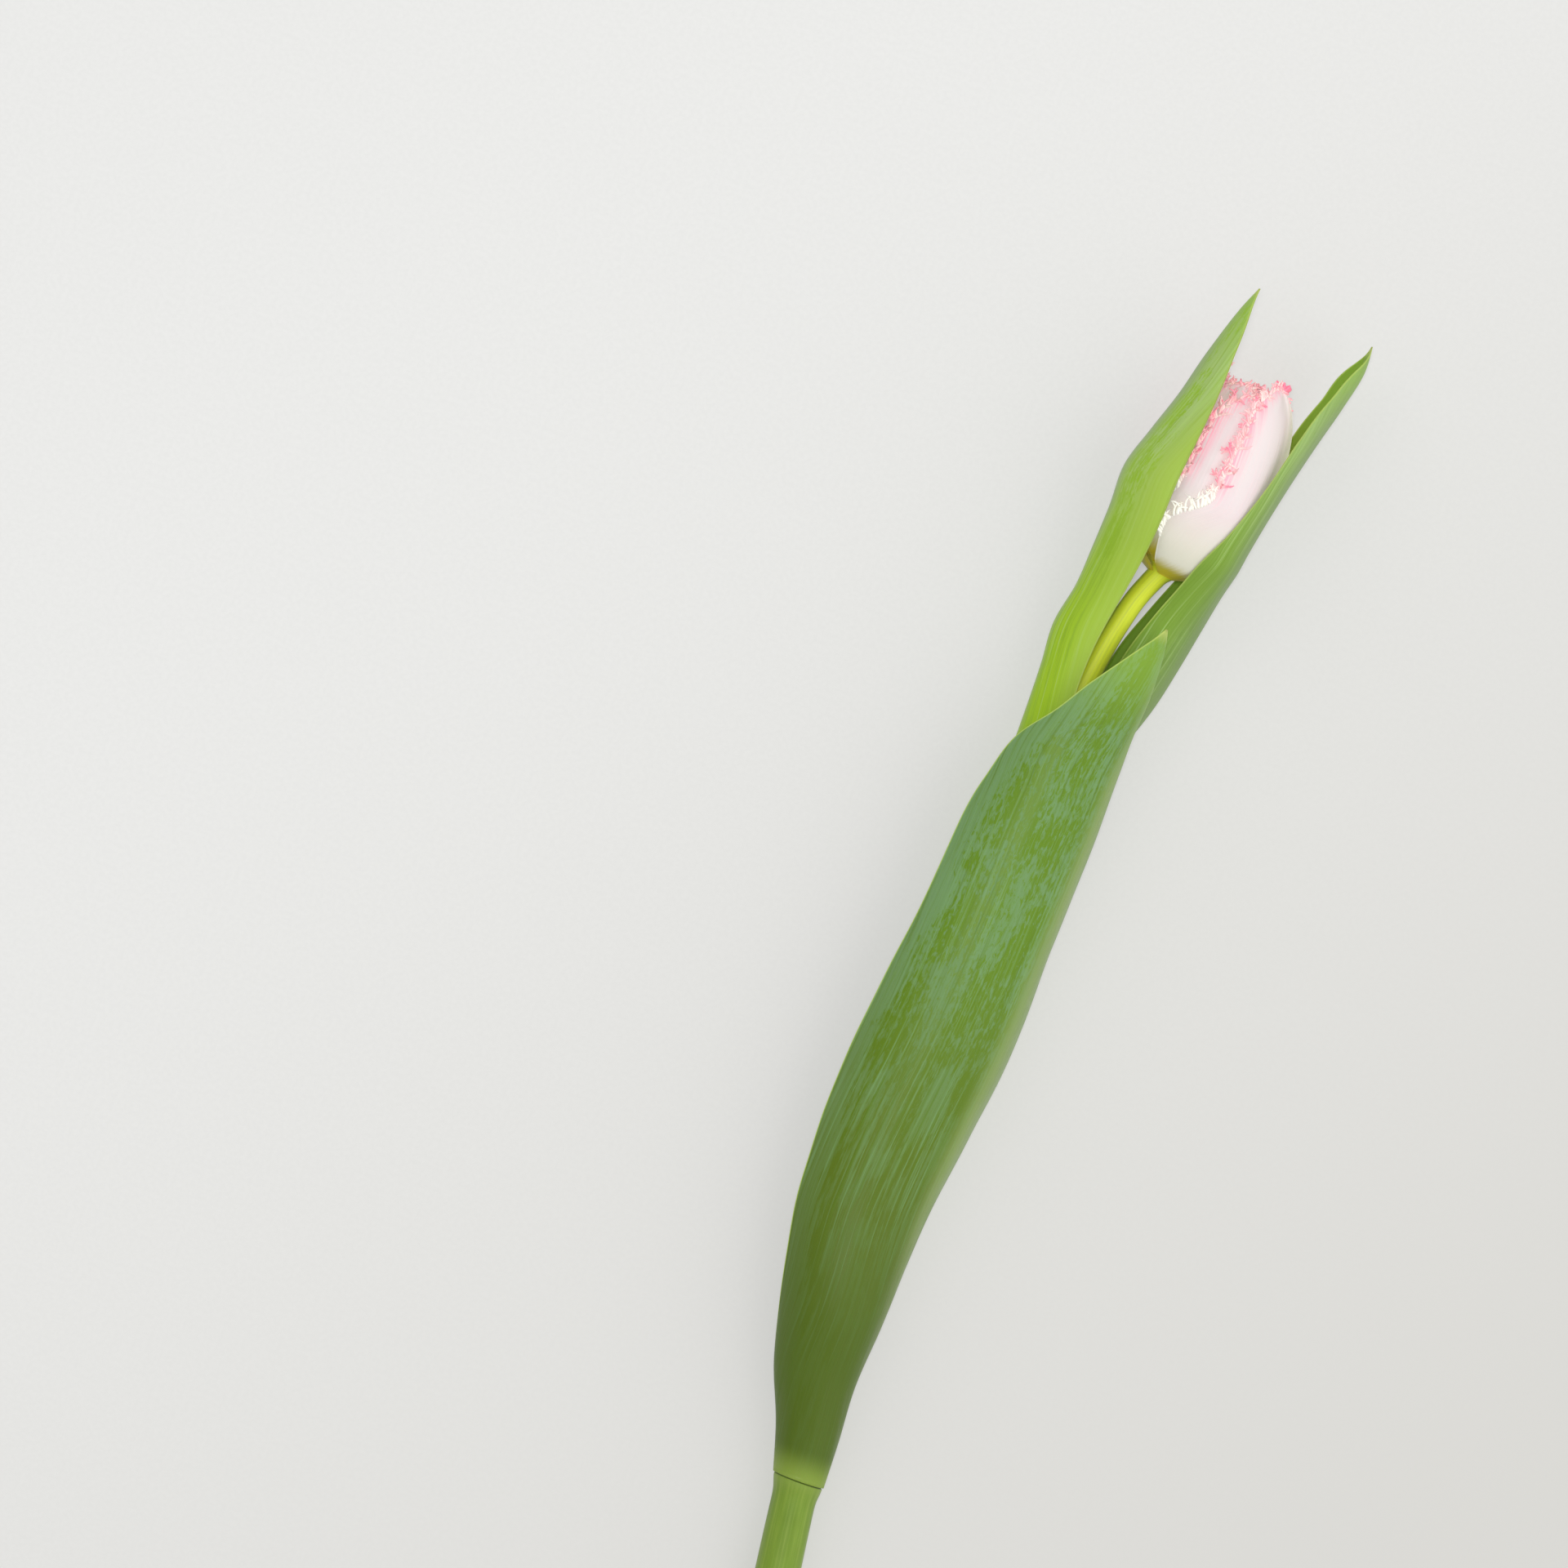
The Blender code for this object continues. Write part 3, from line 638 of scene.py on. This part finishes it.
def make_leaves():
    """The three leaves, each with its own look.

    A look has wax over green, the same two for the lower part between two reaches, and the wear at which wax
    gives way. Its sides carry painted light and shade between two distances across, by a share.
    """
    looks = {
        "leaf_lowest": {
            "wax": srgb(114, 152, 94),
            "green": srgb(98, 136, 2),
            "inside": srgb(86, 118, 14),
            "rub": 0.775,
            # The lower part's darker wax and green are partly its own olive and partly painted shade
            "low_wax": srgb(101, 130, 58),
            "low_green": srgb(90, 114, 4),
            "low_between": (0.66, 0.3),
            # Painted shade: the foot is darkened as it lies in shade
            "foot": srgb(76, 98, 6),
            # Painted light on the right flank, turning greyer toward its edge
            "sides": ((5.0, 14.0, 0.8, srgb(142, 165, 84)), (9.0, 19.0, 0.55, srgb(120, 142, 100))),
        },
        "leaf_left": {
            "wax": srgb(167, 197, 113),
            "green": srgb(148, 190, 30),
            "inside": srgb(112, 150, 14),
            "rub": 0.80,
            "low_wax": srgb(160, 198, 20),
            "low_green": srgb(144, 184, 0),
            "low_between": (0.82, 0.45),
            "foot": srgb(150, 186, 8),
            # Painted light on the right flank and painted shade on the left
            "sides": ((5.0, 14.0, 0.8, srgb(166, 196, 72)), (3.0, -6.0, 0.75, srgb(132, 154, 108))),
        },
        "leaf_right": {
            "wax": srgb(166, 196, 118),
            "green": srgb(130, 168, 50),
            "inside": srgb(124, 166, 4),
            "rub": 0.84,
            "low_wax": srgb(126, 162, 54),
            "low_green": srgb(108, 146, 16),
            "low_between": (0.95, 0.62),
            "foot": srgb(110, 142, 30),
            # Painted shade on the left flank
            "sides": ((-13.0, -2.0, 0.8, srgb(122, 143, 96)),),
        },
    }
    materials = {name: leaf_material(name, look) for name, look in looks.items()}
    for name, material in materials.items():
        points, faces, attributes = blade(leaf_grid(name), LEAF_HALF_THICKNESS, 1.0)
        make_object(name, points, faces, attributes, material)


# Petals


def bloom_points(height, radius, angle):
    """Points at heights along the bloom's axis, radii from it and angles from +Z toward +X."""
    across = radius * np.sin(angle)
    x = height * math.sin(BLOOM_LEAN) + across * math.cos(BLOOM_LEAN)
    y = height * math.cos(BLOOM_LEAN) - across * math.sin(BLOOM_LEAN)
    return np.stack(np.broadcast_arrays(x, y, BLOOM_AXIS_HEIGHT + radius * np.cos(angle)), axis=-1)


BLOOM_AXIS = np.array((math.sin(BLOOM_LEAN), math.cos(BLOOM_LEAN), 0.0))
BLOOM_SIDE = np.array((math.cos(BLOOM_LEAN), -math.sin(BLOOM_LEAN), 0.0))
BLOOM_LIFT = np.array((0.0, 0.0, BLOOM_AXIS_HEIGHT))
PROFILE_ROWS, _ = with_lengths([(radius, height, 0.0) for radius, height in BLOOM_PROFILE])


def profile_points(places, layer, lift=0.0):
    """Radii and heights at places along a petal's profile, moved in for each layer and out by a lift."""
    places = np.asarray(places, dtype=float)
    flat = np.clip(places.ravel(), 0.0, 1.0)
    here = smooth_rows(PROFILE_ROWS, flat)
    ahead = smooth_rows(PROFILE_ROWS, np.minimum(flat + 0.01, 1.0))
    behind = smooth_rows(PROFILE_ROWS, np.maximum(flat - 0.01, 0.0))
    along = unit((ahead - behind)[:, 1:3])
    beyond = PETAL_LENGTH * (places.ravel() - flat)
    inward = layer * LAYER_PITCH - np.broadcast_to(lift, places.shape).ravel()
    radius = here[:, 1] + beyond * along[:, 0] - inward * along[:, 1]
    height = here[:, 2] + beyond * along[:, 1] + inward * along[:, 0]
    if layer > 0:
        radius = np.where(flat < 0.5, np.maximum(radius, FOOT_RADIUS), radius)
    return radius.reshape(places.shape), height.reshape(places.shape)


def petal_margins(petal, places):
    """The angles of a petal's two margins at places from foot to tip."""
    _, foot, body, narrows_at, end = petal
    share = blend(FOOT_ENDS_AT, BODY_STARTS_AT, places)
    first = foot[0] + share * (body[0] - foot[0])
    second = foot[1] + share * (body[1] - foot[1])
    middle, half = (first + second) / 2, (second - first) / 2
    closing = np.clip((places - narrows_at) / (end - narrows_at), 0.0, 1.0)
    half = half * np.sqrt(np.maximum(1 - closing**2, 0.12))
    return np.radians(middle - half), np.radians(middle + half)


def petal_points(petal, across, places, lift=0.0):
    """Points of a petal: across goes from 0 at one margin to 1 at the other, and places from foot to tip."""
    first, second = petal_margins(petal, np.minimum(places, petal[4]))
    radius, height = profile_points(places, petal[0], lift)
    return bloom_points(height, radius, first + across * (second - first))


def petal_lift(across, places, seed):
    """How far a petal stands out of its layer: a middle groove, soft folds and slightly wavy margins."""
    side = 2 * across - 1
    groove = -0.12 * np.exp(-((side / 0.08) ** 2)) * blend(0.15, 0.4, places)
    folds = 0.07 * np.sin(side * 7.0 + seed) * blend(0.2, 0.5, places)
    wave = 0.14 * np.abs(side) ** 4 * np.sin(places * 38.0 + seed)
    wave = wave + 0.12 * blend(0.84, 0.93, places) * np.sin(side * 11.0 + seed)
    return groove + folds + wave


def margin_line(petal, seed):
    """Points down one margin, over the tip and down the other, with their across and place values."""
    places = np.linspace(FRINGE_STARTS_AT, petal[4], MARGIN_LINE_SIDE)
    left = [(0.0, place) for place in places]
    top = [(across, petal[4]) for across in np.linspace(0.0, 1.0, MARGIN_LINE_TIP)[1:-1]]
    right = [(1.0, place) for place in places[::-1]]
    line = np.array(left + top + right)
    across, place = line[:, 0], line[:, 1]
    points = petal_points(petal, across, place, petal_lift(across, place, seed))
    return line, points


def tapered_strand(route, radial, half_width):
    """Points, faces and shares of length of a closed, flattened strand that narrows to its tip."""
    sides = STRAND_SIDES
    tangents = unit(np.gradient(route, axis=0))
    side = unit(np.cross(tangents, radial))
    up = np.cross(side, tangents)
    share = np.linspace(0.0, 1.0, len(route))
    width = half_width * (1.0 - 0.65 * share**2)
    depth = 0.45 * half_width * (1.0 - 0.5 * share)
    turn = np.arange(sides) * math.tau / sides
    ring = side[:, None] * (width[:, None] * np.cos(turn))[..., None]
    ring = ring + up[:, None] * (depth[:, None] * np.sin(turn))[..., None]
    points = (route[:, None] + ring).reshape(-1, 3)
    faces = quads(len(route), sides, closed=True)
    faces.append(tuple(range(sides))[::-1])
    faces.append(tuple(range(len(points) - sides, len(points))))
    return points, faces, np.repeat(share, sides)


def strand_route(start, direction, bend, curl, length, steps):
    """Points of a strand that leaves in a direction, bends one way and curls at its end."""
    share = np.linspace(0.0, 1.0, steps)[:, None]
    return start + length * (direction * share + 0.5 * bend * share**2 + 0.45 * curl * share**4)


def fringe(petal, name, seed):
    """Points, faces and pinkness of a petal's fringe: cream curls low down and a pink frill above."""
    draw = random.Random(name + " fringe")
    line, points = margin_line(petal, seed)
    steps = np.linalg.norm(np.diff(points, axis=0), axis=1)
    lengths = np.concatenate(([0.0], np.cumsum(steps)))
    strands, spot = [], 0.0
    while spot < lengths[-1]:
        across, place = (float(np.interp(spot, lengths, line[:, column])) for column in (0, 1))
        rise = float(blend(*FRINGE_TURNS_PINK, place))
        here = [low + rise * (high - low) for low, high in zip(CURLS, FRILL)]
        spacing, full_length, full_width, branched = here
        spot += spacing * (1.0 + 0.2 * petal[0]) * draw.uniform(0.6, 1.4)
        foot = np.array([np.interp(spot, lengths, points[:, column]) for column in range(3)])
        inner = petal_points(petal, np.array(0.5 + 0.8 * (across - 0.5)), np.array(place - 0.02))
        outward = unit(foot - inner)
        radial = unit(foot - BLOOM_LIFT - BLOOM_AXIS * ((foot - BLOOM_LIFT) @ BLOOM_AXIS))
        along = np.cross(outward, radial)
        clump = 0.5 + 0.5 * math.sin(spot * 1.3 + seed) * math.sin(spot * 0.41 + 2.0 * seed)
        length = full_length * draw.uniform(0.55, 1.0) * (0.8 + 0.35 * clump)
        length *= 0.4 + 0.6 * float(blend(FRINGE_STARTS_AT, FRINGE_STARTS_AT + 0.06, place))
        # Shorter on the bloom's underside, and at the second margin's upper end
        if foot[2] < BLOOM_AXIS_HEIGHT - 2.0:
            length *= 0.5
        if across == 1.0 and place > 0.75:
            length *= 0.4
        length *= 1.0 - 0.35 * float(blend(0.72, 0.9, place))
        folded = draw.random() < 0.25 * rise
        ruffle = math.sin(spot * 1.9 + 3.0 * seed)
        direction = outward * (-0.15 if folded else 1.0) + BLOOM_AXIS * draw.uniform(-0.1, 0.35)
        direction = direction + radial * draw.uniform(0.05, 0.4)
        direction = unit(direction + along * (0.25 * ruffle + draw.uniform(-0.12, 0.12)))
        bend = along * (0.45 * ruffle + draw.uniform(-0.3, 0.3)) - radial * draw.uniform(0.0, 0.4)
        wild = 1.4 - 0.7 * rise
        curl = radial * draw.uniform(-0.1, 0.6) + along * wild * draw.uniform(-1.4, 1.4)
        curl = curl - outward * wild * draw.uniform(0.0, 1.0)
        pink = rise * min(1.0, 0.2 + draw.uniform(0.0, 0.5) + 0.5 * clump)
        half_width = full_width * draw.uniform(0.75, 1.35)
        whole = (0.6 if folded else 1.0) * length + 0.4
        route = strand_route(foot - 0.4 * outward, direction, bend, curl, whole, STRAND_STEPS)
        strands.append((route, radial, half_width, pink, 0.0))
        if draw.random() < branched:
            for _ in range(draw.choice((1, 2, 2))):
                aside = unit(direction + along * draw.choice((-1.0, 1.0)) * draw.uniform(0.3, 0.65))
                fork = route[draw.choice((2, 3, 4, 5))]
                branch = strand_route(fork, aside, bend, -curl, 0.35 * length, BRANCH_STEPS)
                strands.append((branch, radial, 0.62 * half_width, pink, 0.5))
    if name == "petal_outer_front":
        strands += tip_knob(points, draw)
    parts, start = [], 0
    for route, radial, half_width, pink, base in strands:
        strand_points, strand_faces, share = tapered_strand(route, radial, half_width)
        strand_faces = [tuple(corner + start for corner in face) for face in strand_faces]
        shade = pink * (0.45 + 0.55 * np.clip(base + share, 0.0, 1.0))
        parts.append((strand_points, strand_faces, shade))
        start += len(strand_points)
    all_points, all_faces, shades = zip(*parts)
    all_points = within_layer(petal, np.concatenate(all_points))
    return all_points, [face for faces in all_faces for face in faces], np.concatenate(shades)


def tip_knob(points, draw):
    """Strands of the small pink knob at the very tip of the front petal."""
    foot = points[len(points) // 2]
    strands = []
    for index in range(KNOB_STRANDS):
        aside = BLOOM_SIDE * (2.0 * index / (KNOB_STRANDS - 1) - 1.0)
        direction = unit(BLOOM_AXIS + 0.9 * aside + np.array((0.0, 0.0, draw.uniform(-0.3, 0.5))))
        curl = BLOOM_SIDE * draw.uniform(-0.8, 0.8)
        root = foot - 0.5 * BLOOM_AXIS + 0.3 * aside
        route = strand_route(root, direction, aside * 0.3, curl, KNOB_LENGTH, STRAND_STEPS)
        strands.append((route, np.array((0.0, 0.0, 1.0)), 0.55, 1.0, 0.5))
    return strands


def within_layer(petal, points):
    """The points, moved in or out from the bloom's axis to stay near their layer and inside two leaves."""
    places = np.linspace(0.0, 1.02, 240)
    radii, heights = profile_points(places, petal[0])
    heights = np.maximum.accumulate(heights)
    from_lift = points - BLOOM_LIFT
    height = from_lift @ BLOOM_AXIS
    away = from_lift - height[:, None] * BLOOM_AXIS
    distance = np.linalg.norm(away, axis=1)
    angle = np.arctan2(away @ BLOOM_SIDE, away[:, 2])
    place = np.interp(height, heights, places)
    covered = np.zeros(len(points), dtype=bool)
    for other in PETALS.values():
        if other[0] < petal[0]:
            first, second = petal_margins(other, np.minimum(place, other[4]))
            covered |= ((angle - first) % math.tau < second - first + 0.06) & (place < other[4])
    layer = np.interp(height, heights, radii)
    above = np.where(covered, FRINGE_ABOVE_COVERED, FRINGE_ABOVE)
    kept = np.clip(distance, layer - FRINGE_BELOW, np.minimum(layer + above, FRINGE_LIMIT))
    kept = np.where(place < 0.985, kept, np.minimum(distance, FRINGE_LIMIT))
    points = points + away * ((kept - distance) / np.maximum(distance, 0.5))[:, None]
    for leaf in ("leaf_left", "leaf_right"):
        arcs = smooth_rows(LEAVES[leaf], points[:, 1])
        from_centre = points[:, (0, 2)] - arcs[:, 1:3]
        turn = np.degrees(np.arctan2(from_centre[:, 0], from_centre[:, 1]))
        spanned = (turn > arcs[:, 5] - LEAF_CLEARANCE_TURN) & (turn < arcs[:, 6] + LEAF_CLEARANCE_TURN)
        room = np.minimum(arcs[:, 3], arcs[:, 4]) - LEAF_HALF_THICKNESS - FRINGE_LEAF_GAP
        distance = np.linalg.norm(from_centre, axis=1)
        share = np.where(spanned, np.minimum(1.0, room / np.maximum(distance, 0.1)), 1.0)
        points[:, (0, 2)] = arcs[:, 1:3] + from_centre * share[:, None]
    return points


def make_petal(name, petal, material):
    """A petal's blade and its fringe as one piece."""
    seed = float(sum(map(ord, name)) % 17)
    foot_place = PETAL_FOOT_PLACE if petal[0] == 0 else 0.0
    places = np.linspace(foot_place, petal[4], PETAL_GRID[0] + 1)[:, None]
    across = np.linspace(0.0, 1.0, PETAL_GRID[1] + 1)[None, :]
    places, across = np.broadcast_arrays(places, across)
    grid = petal_points(petal, across, places, petal_lift(across, places, seed))
    points, faces, attributes = blade(grid, PETAL_HALF_THICKNESS, 1.0)
    hairs, hair_faces, pinks = fringe(petal, name, seed)
    count = len(points)
    reach = attributes["reach"] * petal[4]
    margin = attributes["margin"]
    near = (1.0 - blend(0.0, 0.9, margin)) * blend(0.5, 0.72, reach)
    attributes["pink"] = np.concatenate((0.4 * near, pinks))
    attributes["hair"] = np.concatenate((np.zeros(count), np.ones(len(hairs))))
    attributes["reach"] = np.concatenate((reach, np.full(len(hairs), 0.6)))
    for key, filler in (("across", 0.0), ("along", 30.0), ("outside", 1.0), ("margin", 9.0)):
        attributes[key] = np.concatenate((attributes[key], np.full(len(hairs), filler)))
    faces = faces + [tuple(index + count for index in face) for face in hair_faces]
    make_object(name, np.concatenate((points, hairs)), faces, attributes, material)


def make_petals():
    """All petals, of which the front one has less green at its foot and a painted lit side, lighter and
    glowing.
    """
    front, others = petal_material("petal_front", 0.14, 1.0), petal_material("petal", 0.22, 0.0)
    for name, petal in PETALS.items():
        make_petal(name, petal, front if name == "petal_outer_front" else others)


# Stem


def stem_rows():
    """Centre and radius of the stem at fine steps, with a ring below each leaf and the receptacle on top."""
    route = list(STEM_ROUTE)
    for height, radius in STEM_TOP:
        centre = bloom_points(np.array(height), np.array(0.0), np.array(0.0))
        route.append((centre[0] + 0.35 * min(height, 0.0), centre[1], centre[2], radius))
    rows, length = with_lengths(route)
    feet = [leaf_rows[0][0] - LEAF_HALF_THICKNESS - 0.1 for leaf_rows in LEAVES.values()]
    even = np.linspace(0.0, 1.0, STEM_GRID[0] + 1)
    coarse = smooth_rows(rows, even)[:, 1:]
    shares = [even]
    for foot in feet:
        middle = np.interp(foot, coarse[:, 1], even)
        shares.append(middle + np.linspace(-0.6, 0.6, 13) / length)
    places = np.unique(np.concatenate(shares))
    fine = smooth_rows(rows, places)[:, 1:]
    joint = np.zeros(len(fine))
    for foot in feet:
        below = foot - fine[:, 1]
        ring = np.where(below > 0, np.exp(-((below / 2.6) ** 2)), blend(-0.3, 0.0, below))
        joint = np.maximum(joint, ring)
    fine[:, 3] = np.minimum(fine[:, 3], STEM_THICKEST) + NODE_RING_RISE * joint
    return fine, places * length, joint


def make_stem():
    """The stem with its node rings, its receptacle and a slightly hollow cut end."""
    fine, along, joint = stem_rows()
    sides = STEM_GRID[1]
    tangents = unit(np.gradient(fine[:, :3], axis=0))
    straight = blend(-18.0, -10.0, fine[:, 1])[:, None]
    side = unit(np.cross(tangents, np.array((0.0, 0.0, 1.0))))
    up = unit((1.0 - straight) * np.array((0.0, 0.0, 1.0)) + straight * np.cross(side, tangents))
    side = unit((1.0 - straight) * np.array((1.0, 0.0, 0.0)) + straight * side)
    turn = np.arange(sides) * math.tau / sides
    spokes = side[:, None] * np.sin(turn)[None, :, None] + up[:, None] * np.cos(turn)[None, :, None]
    ridges = 1.0 + 0.006 * np.sin(turn * 12.0)[None, :, None]
    rings = [(fine[:, None, :3] + spokes * ridges * fine[:, 3][:, None, None])]
    cut = [fine[0, :3] + tangents[0] * depth + spokes[:1] * fine[0, 3] * share for share, depth in CUT_END]
    points = np.concatenate(cut[::-1] + rings).reshape(-1, 3)
    faces = quads(len(points) // sides, sides, closed=True)
    faces.append(tuple(range(sides))[::-1])
    faces.append(tuple(range(len(points) - sides, len(points))))
    hidden = len(cut) * sides
    across = np.repeat((np.abs(turn - math.pi) * 5.0)[None, :], len(fine), axis=0)
    attributes = {
        "across": np.concatenate((np.zeros(hidden), across.ravel())),
        "along": np.concatenate((np.zeros(hidden), np.repeat(along, sides))),
        "joint": np.concatenate((np.zeros(hidden), np.repeat(joint, sides))),
        "pale": np.concatenate((np.ones(hidden), np.zeros(len(fine) * sides))),
    }
    make_object("stem", points, faces, attributes, stem_material())


# Pistil and stamens


def turned(profile, sides, centre_height, ring_radius, ring_angle, lobes):
    """Points and faces of a body turned along the bloom's axis. Lobes swell its radius three times round."""
    profile = np.array(profile)
    rows, _ = with_lengths(np.column_stack((profile, np.zeros(len(profile)))))
    fine = smooth_rows(rows, np.linspace(0.0, 1.0, TURNED_ROWS))
    turn = np.arange(sides) * math.tau / sides
    swell = 1.0 + lobes * np.cos(3 * turn)
    centre = bloom_points(np.array(centre_height), np.array(ring_radius), np.array(ring_angle))
    base = bloom_points(np.array(0.0), np.array(0.0), np.array(0.0))
    local = bloom_points(fine[:, 2:3], fine[:, 1:2] * swell[None, :], turn[None, :])
    points = (local - base + centre).reshape(-1, 3)
    faces = quads(TURNED_ROWS, sides, closed=True)
    faces.append(tuple(range(sides))[::-1])
    faces.append(tuple(range(len(points) - sides, len(points))))
    return points, faces


def make_heart():
    """The pistil and the ring of stamens inside the petals."""
    foot = RECEPTACLE_TOP + GAP
    pistil = (
        (OVARY_RADIUS * 0.82, 0.0),
        (OVARY_RADIUS, 3.0),
        (OVARY_RADIUS * 0.95, OVARY_HEIGHT * 0.7),
        (OVARY_RADIUS * 0.75, OVARY_HEIGHT),
        (STIGMA_RADIUS, OVARY_HEIGHT + 2.0),
        (STIGMA_RADIUS * 0.9, OVARY_HEIGHT + 3.4),
        (STIGMA_RADIUS * 0.3, OVARY_HEIGHT + 3.8),
    )
    stamen = (
        (FILAMENT_RADIUS, 0.0),
        (FILAMENT_RADIUS, FILAMENT_HEIGHT - 0.6),
        (ANTHER_RADIUS * 0.8, FILAMENT_HEIGHT),
        (ANTHER_RADIUS, FILAMENT_HEIGHT + ANTHER_LENGTH * 0.25),
        (ANTHER_RADIUS * 0.9, FILAMENT_HEIGHT + ANTHER_LENGTH * 0.8),
        (ANTHER_RADIUS * 0.3, FILAMENT_HEIGHT + ANTHER_LENGTH),
    )
    green = plain_noise_material("pistil", srgb(176, 190, 110), srgb(206, 212, 150), 400.0, 0.45, 0.00005)
    dusty = plain_noise_material("anther", srgb(92, 66, 44), srgb(150, 118, 70), 1500.0, 0.85, 0.0001)
    points, faces = turned(pistil, PISTIL_SIDES, foot, 0.0, 0.0, PISTIL_LOBES)
    make_object("pistil", points, faces, {}, green)
    for index in range(STAMEN_COUNT):
        angle = math.tau * (index + 0.5) / STAMEN_COUNT
        points, faces = turned(stamen, STAMEN_SIDES, foot, STAMEN_RING_RADIUS, angle, 0.0)
        make_object(f"stamen_{index + 1}", points, faces, {}, dusty)


# Table, lights and camera


def make_table():
    """A pale table that gives off some light, with painted shade that darkens it a little toward the
    picture's lower right.
    """
    mesh = bpy.data.meshes.new("table")
    half = TABLE_HALF
    corners = [(-half, -half, 0), (half, -half, 0), (half, half, 0), (-half, half, 0)]
    mesh.from_pydata(corners, [], [(0, 1, 2, 3)])
    shader = Shader("table")
    coordinates = shader.tree.nodes.new("ShaderNodeTexCoord").outputs["Object"]
    grain = shader.noise(coordinates, 900.0, 3.0, 0.6)
    colour = shader.mix(shader.span(grain, 0.3, 0.7), srgb(170, 170, 167), srgb(174, 174, 171))
    axes = shader.tree.nodes.new("ShaderNodeSeparateXYZ")
    shader.put(axes.inputs["Vector"], coordinates)
    # Painted shade: darker toward the picture's lower right, as the light falls off.
    painted_falloff = shader.math("SUBTRACT", axes.outputs["X"], shader.math("MULTIPLY", axes.outputs["Y"], 0.6))
    colour = shader.mix(shader.span(painted_falloff, -0.3, 0.3), colour, srgb(141, 139, 131))
    material = shader.finish(
        colour,
        0.75,
        shader.bump(grain, 0.00003, 0.4),
        Specular_IOR_Level=0.2,
        Emission_Color=WHITE,
        Emission_Strength=TABLE_GLOW,
    )
    mesh.materials.append(material)
    table = bpy.data.objects.new("table", mesh)
    bpy.context.scene.collection.objects.link(table)


def add_area_light(name, place, target, size, power):
    """A round soft light, aimed at its target."""
    light = bpy.data.lights.new(name, "AREA")
    light.shape = "DISK"
    light.size = size
    light.energy = power
    lamp = bpy.data.objects.new(name, light)
    lamp.location = place
    lamp.rotation_euler = (Vector(target) - Vector(place)).to_track_quat("-Z", "Y").to_euler()
    bpy.context.scene.collection.objects.link(lamp)


def make_lights():
    """An overhead light, one from each side, and an even white world."""
    middle = (PICTURE_CENTRE + BLOOM_FOOT) * MM
    offset, size, power = OVERHEAD_LIGHT
    place = (middle[0] + offset[0], middle[1] + offset[1], offset[2])
    add_area_light("overhead", place, (middle[0], middle[1], 0.0), size, power)
    for name, (place, size, power) in SIDE_LIGHTS.items():
        add_area_light(name, place, (0.0, 0.0, 0.0), size, power)
    world = bpy.data.worlds.new("soft_white")
    world.use_nodes = True
    background = world.node_tree.nodes["Background"]
    background.inputs["Color"].default_value = (*WHITE, 1.0)
    background.inputs["Strength"].default_value = WORLD_STRENGTH
    bpy.context.scene.world = world
    bpy.context.scene.view_settings.view_transform = "Standard"


def make_camera():
    """A camera straight above the picture's centre."""
    data = bpy.data.cameras.new("camera")
    data.sensor_width = SENSOR_WIDTH
    data.lens = SENSOR_WIDTH * CAMERA_DISTANCE / PICTURE_WIDTH
    data.clip_start = NEAREST_SEEN
    camera = bpy.data.objects.new("camera", data)
    aim = (PICTURE_CENTRE + BLOOM_FOOT) * MM
    camera.location = (aim[0], aim[1], aim[2] + CAMERA_DISTANCE * MM)
    camera.rotation_euler = (0.0, 0.0, PICTURE_TURN)
    bpy.context.scene.collection.objects.link(camera)
    bpy.context.scene.camera = camera


make_camera()
make_leaves()
make_petals()
make_stem()
make_heart()
make_table()
make_lights()
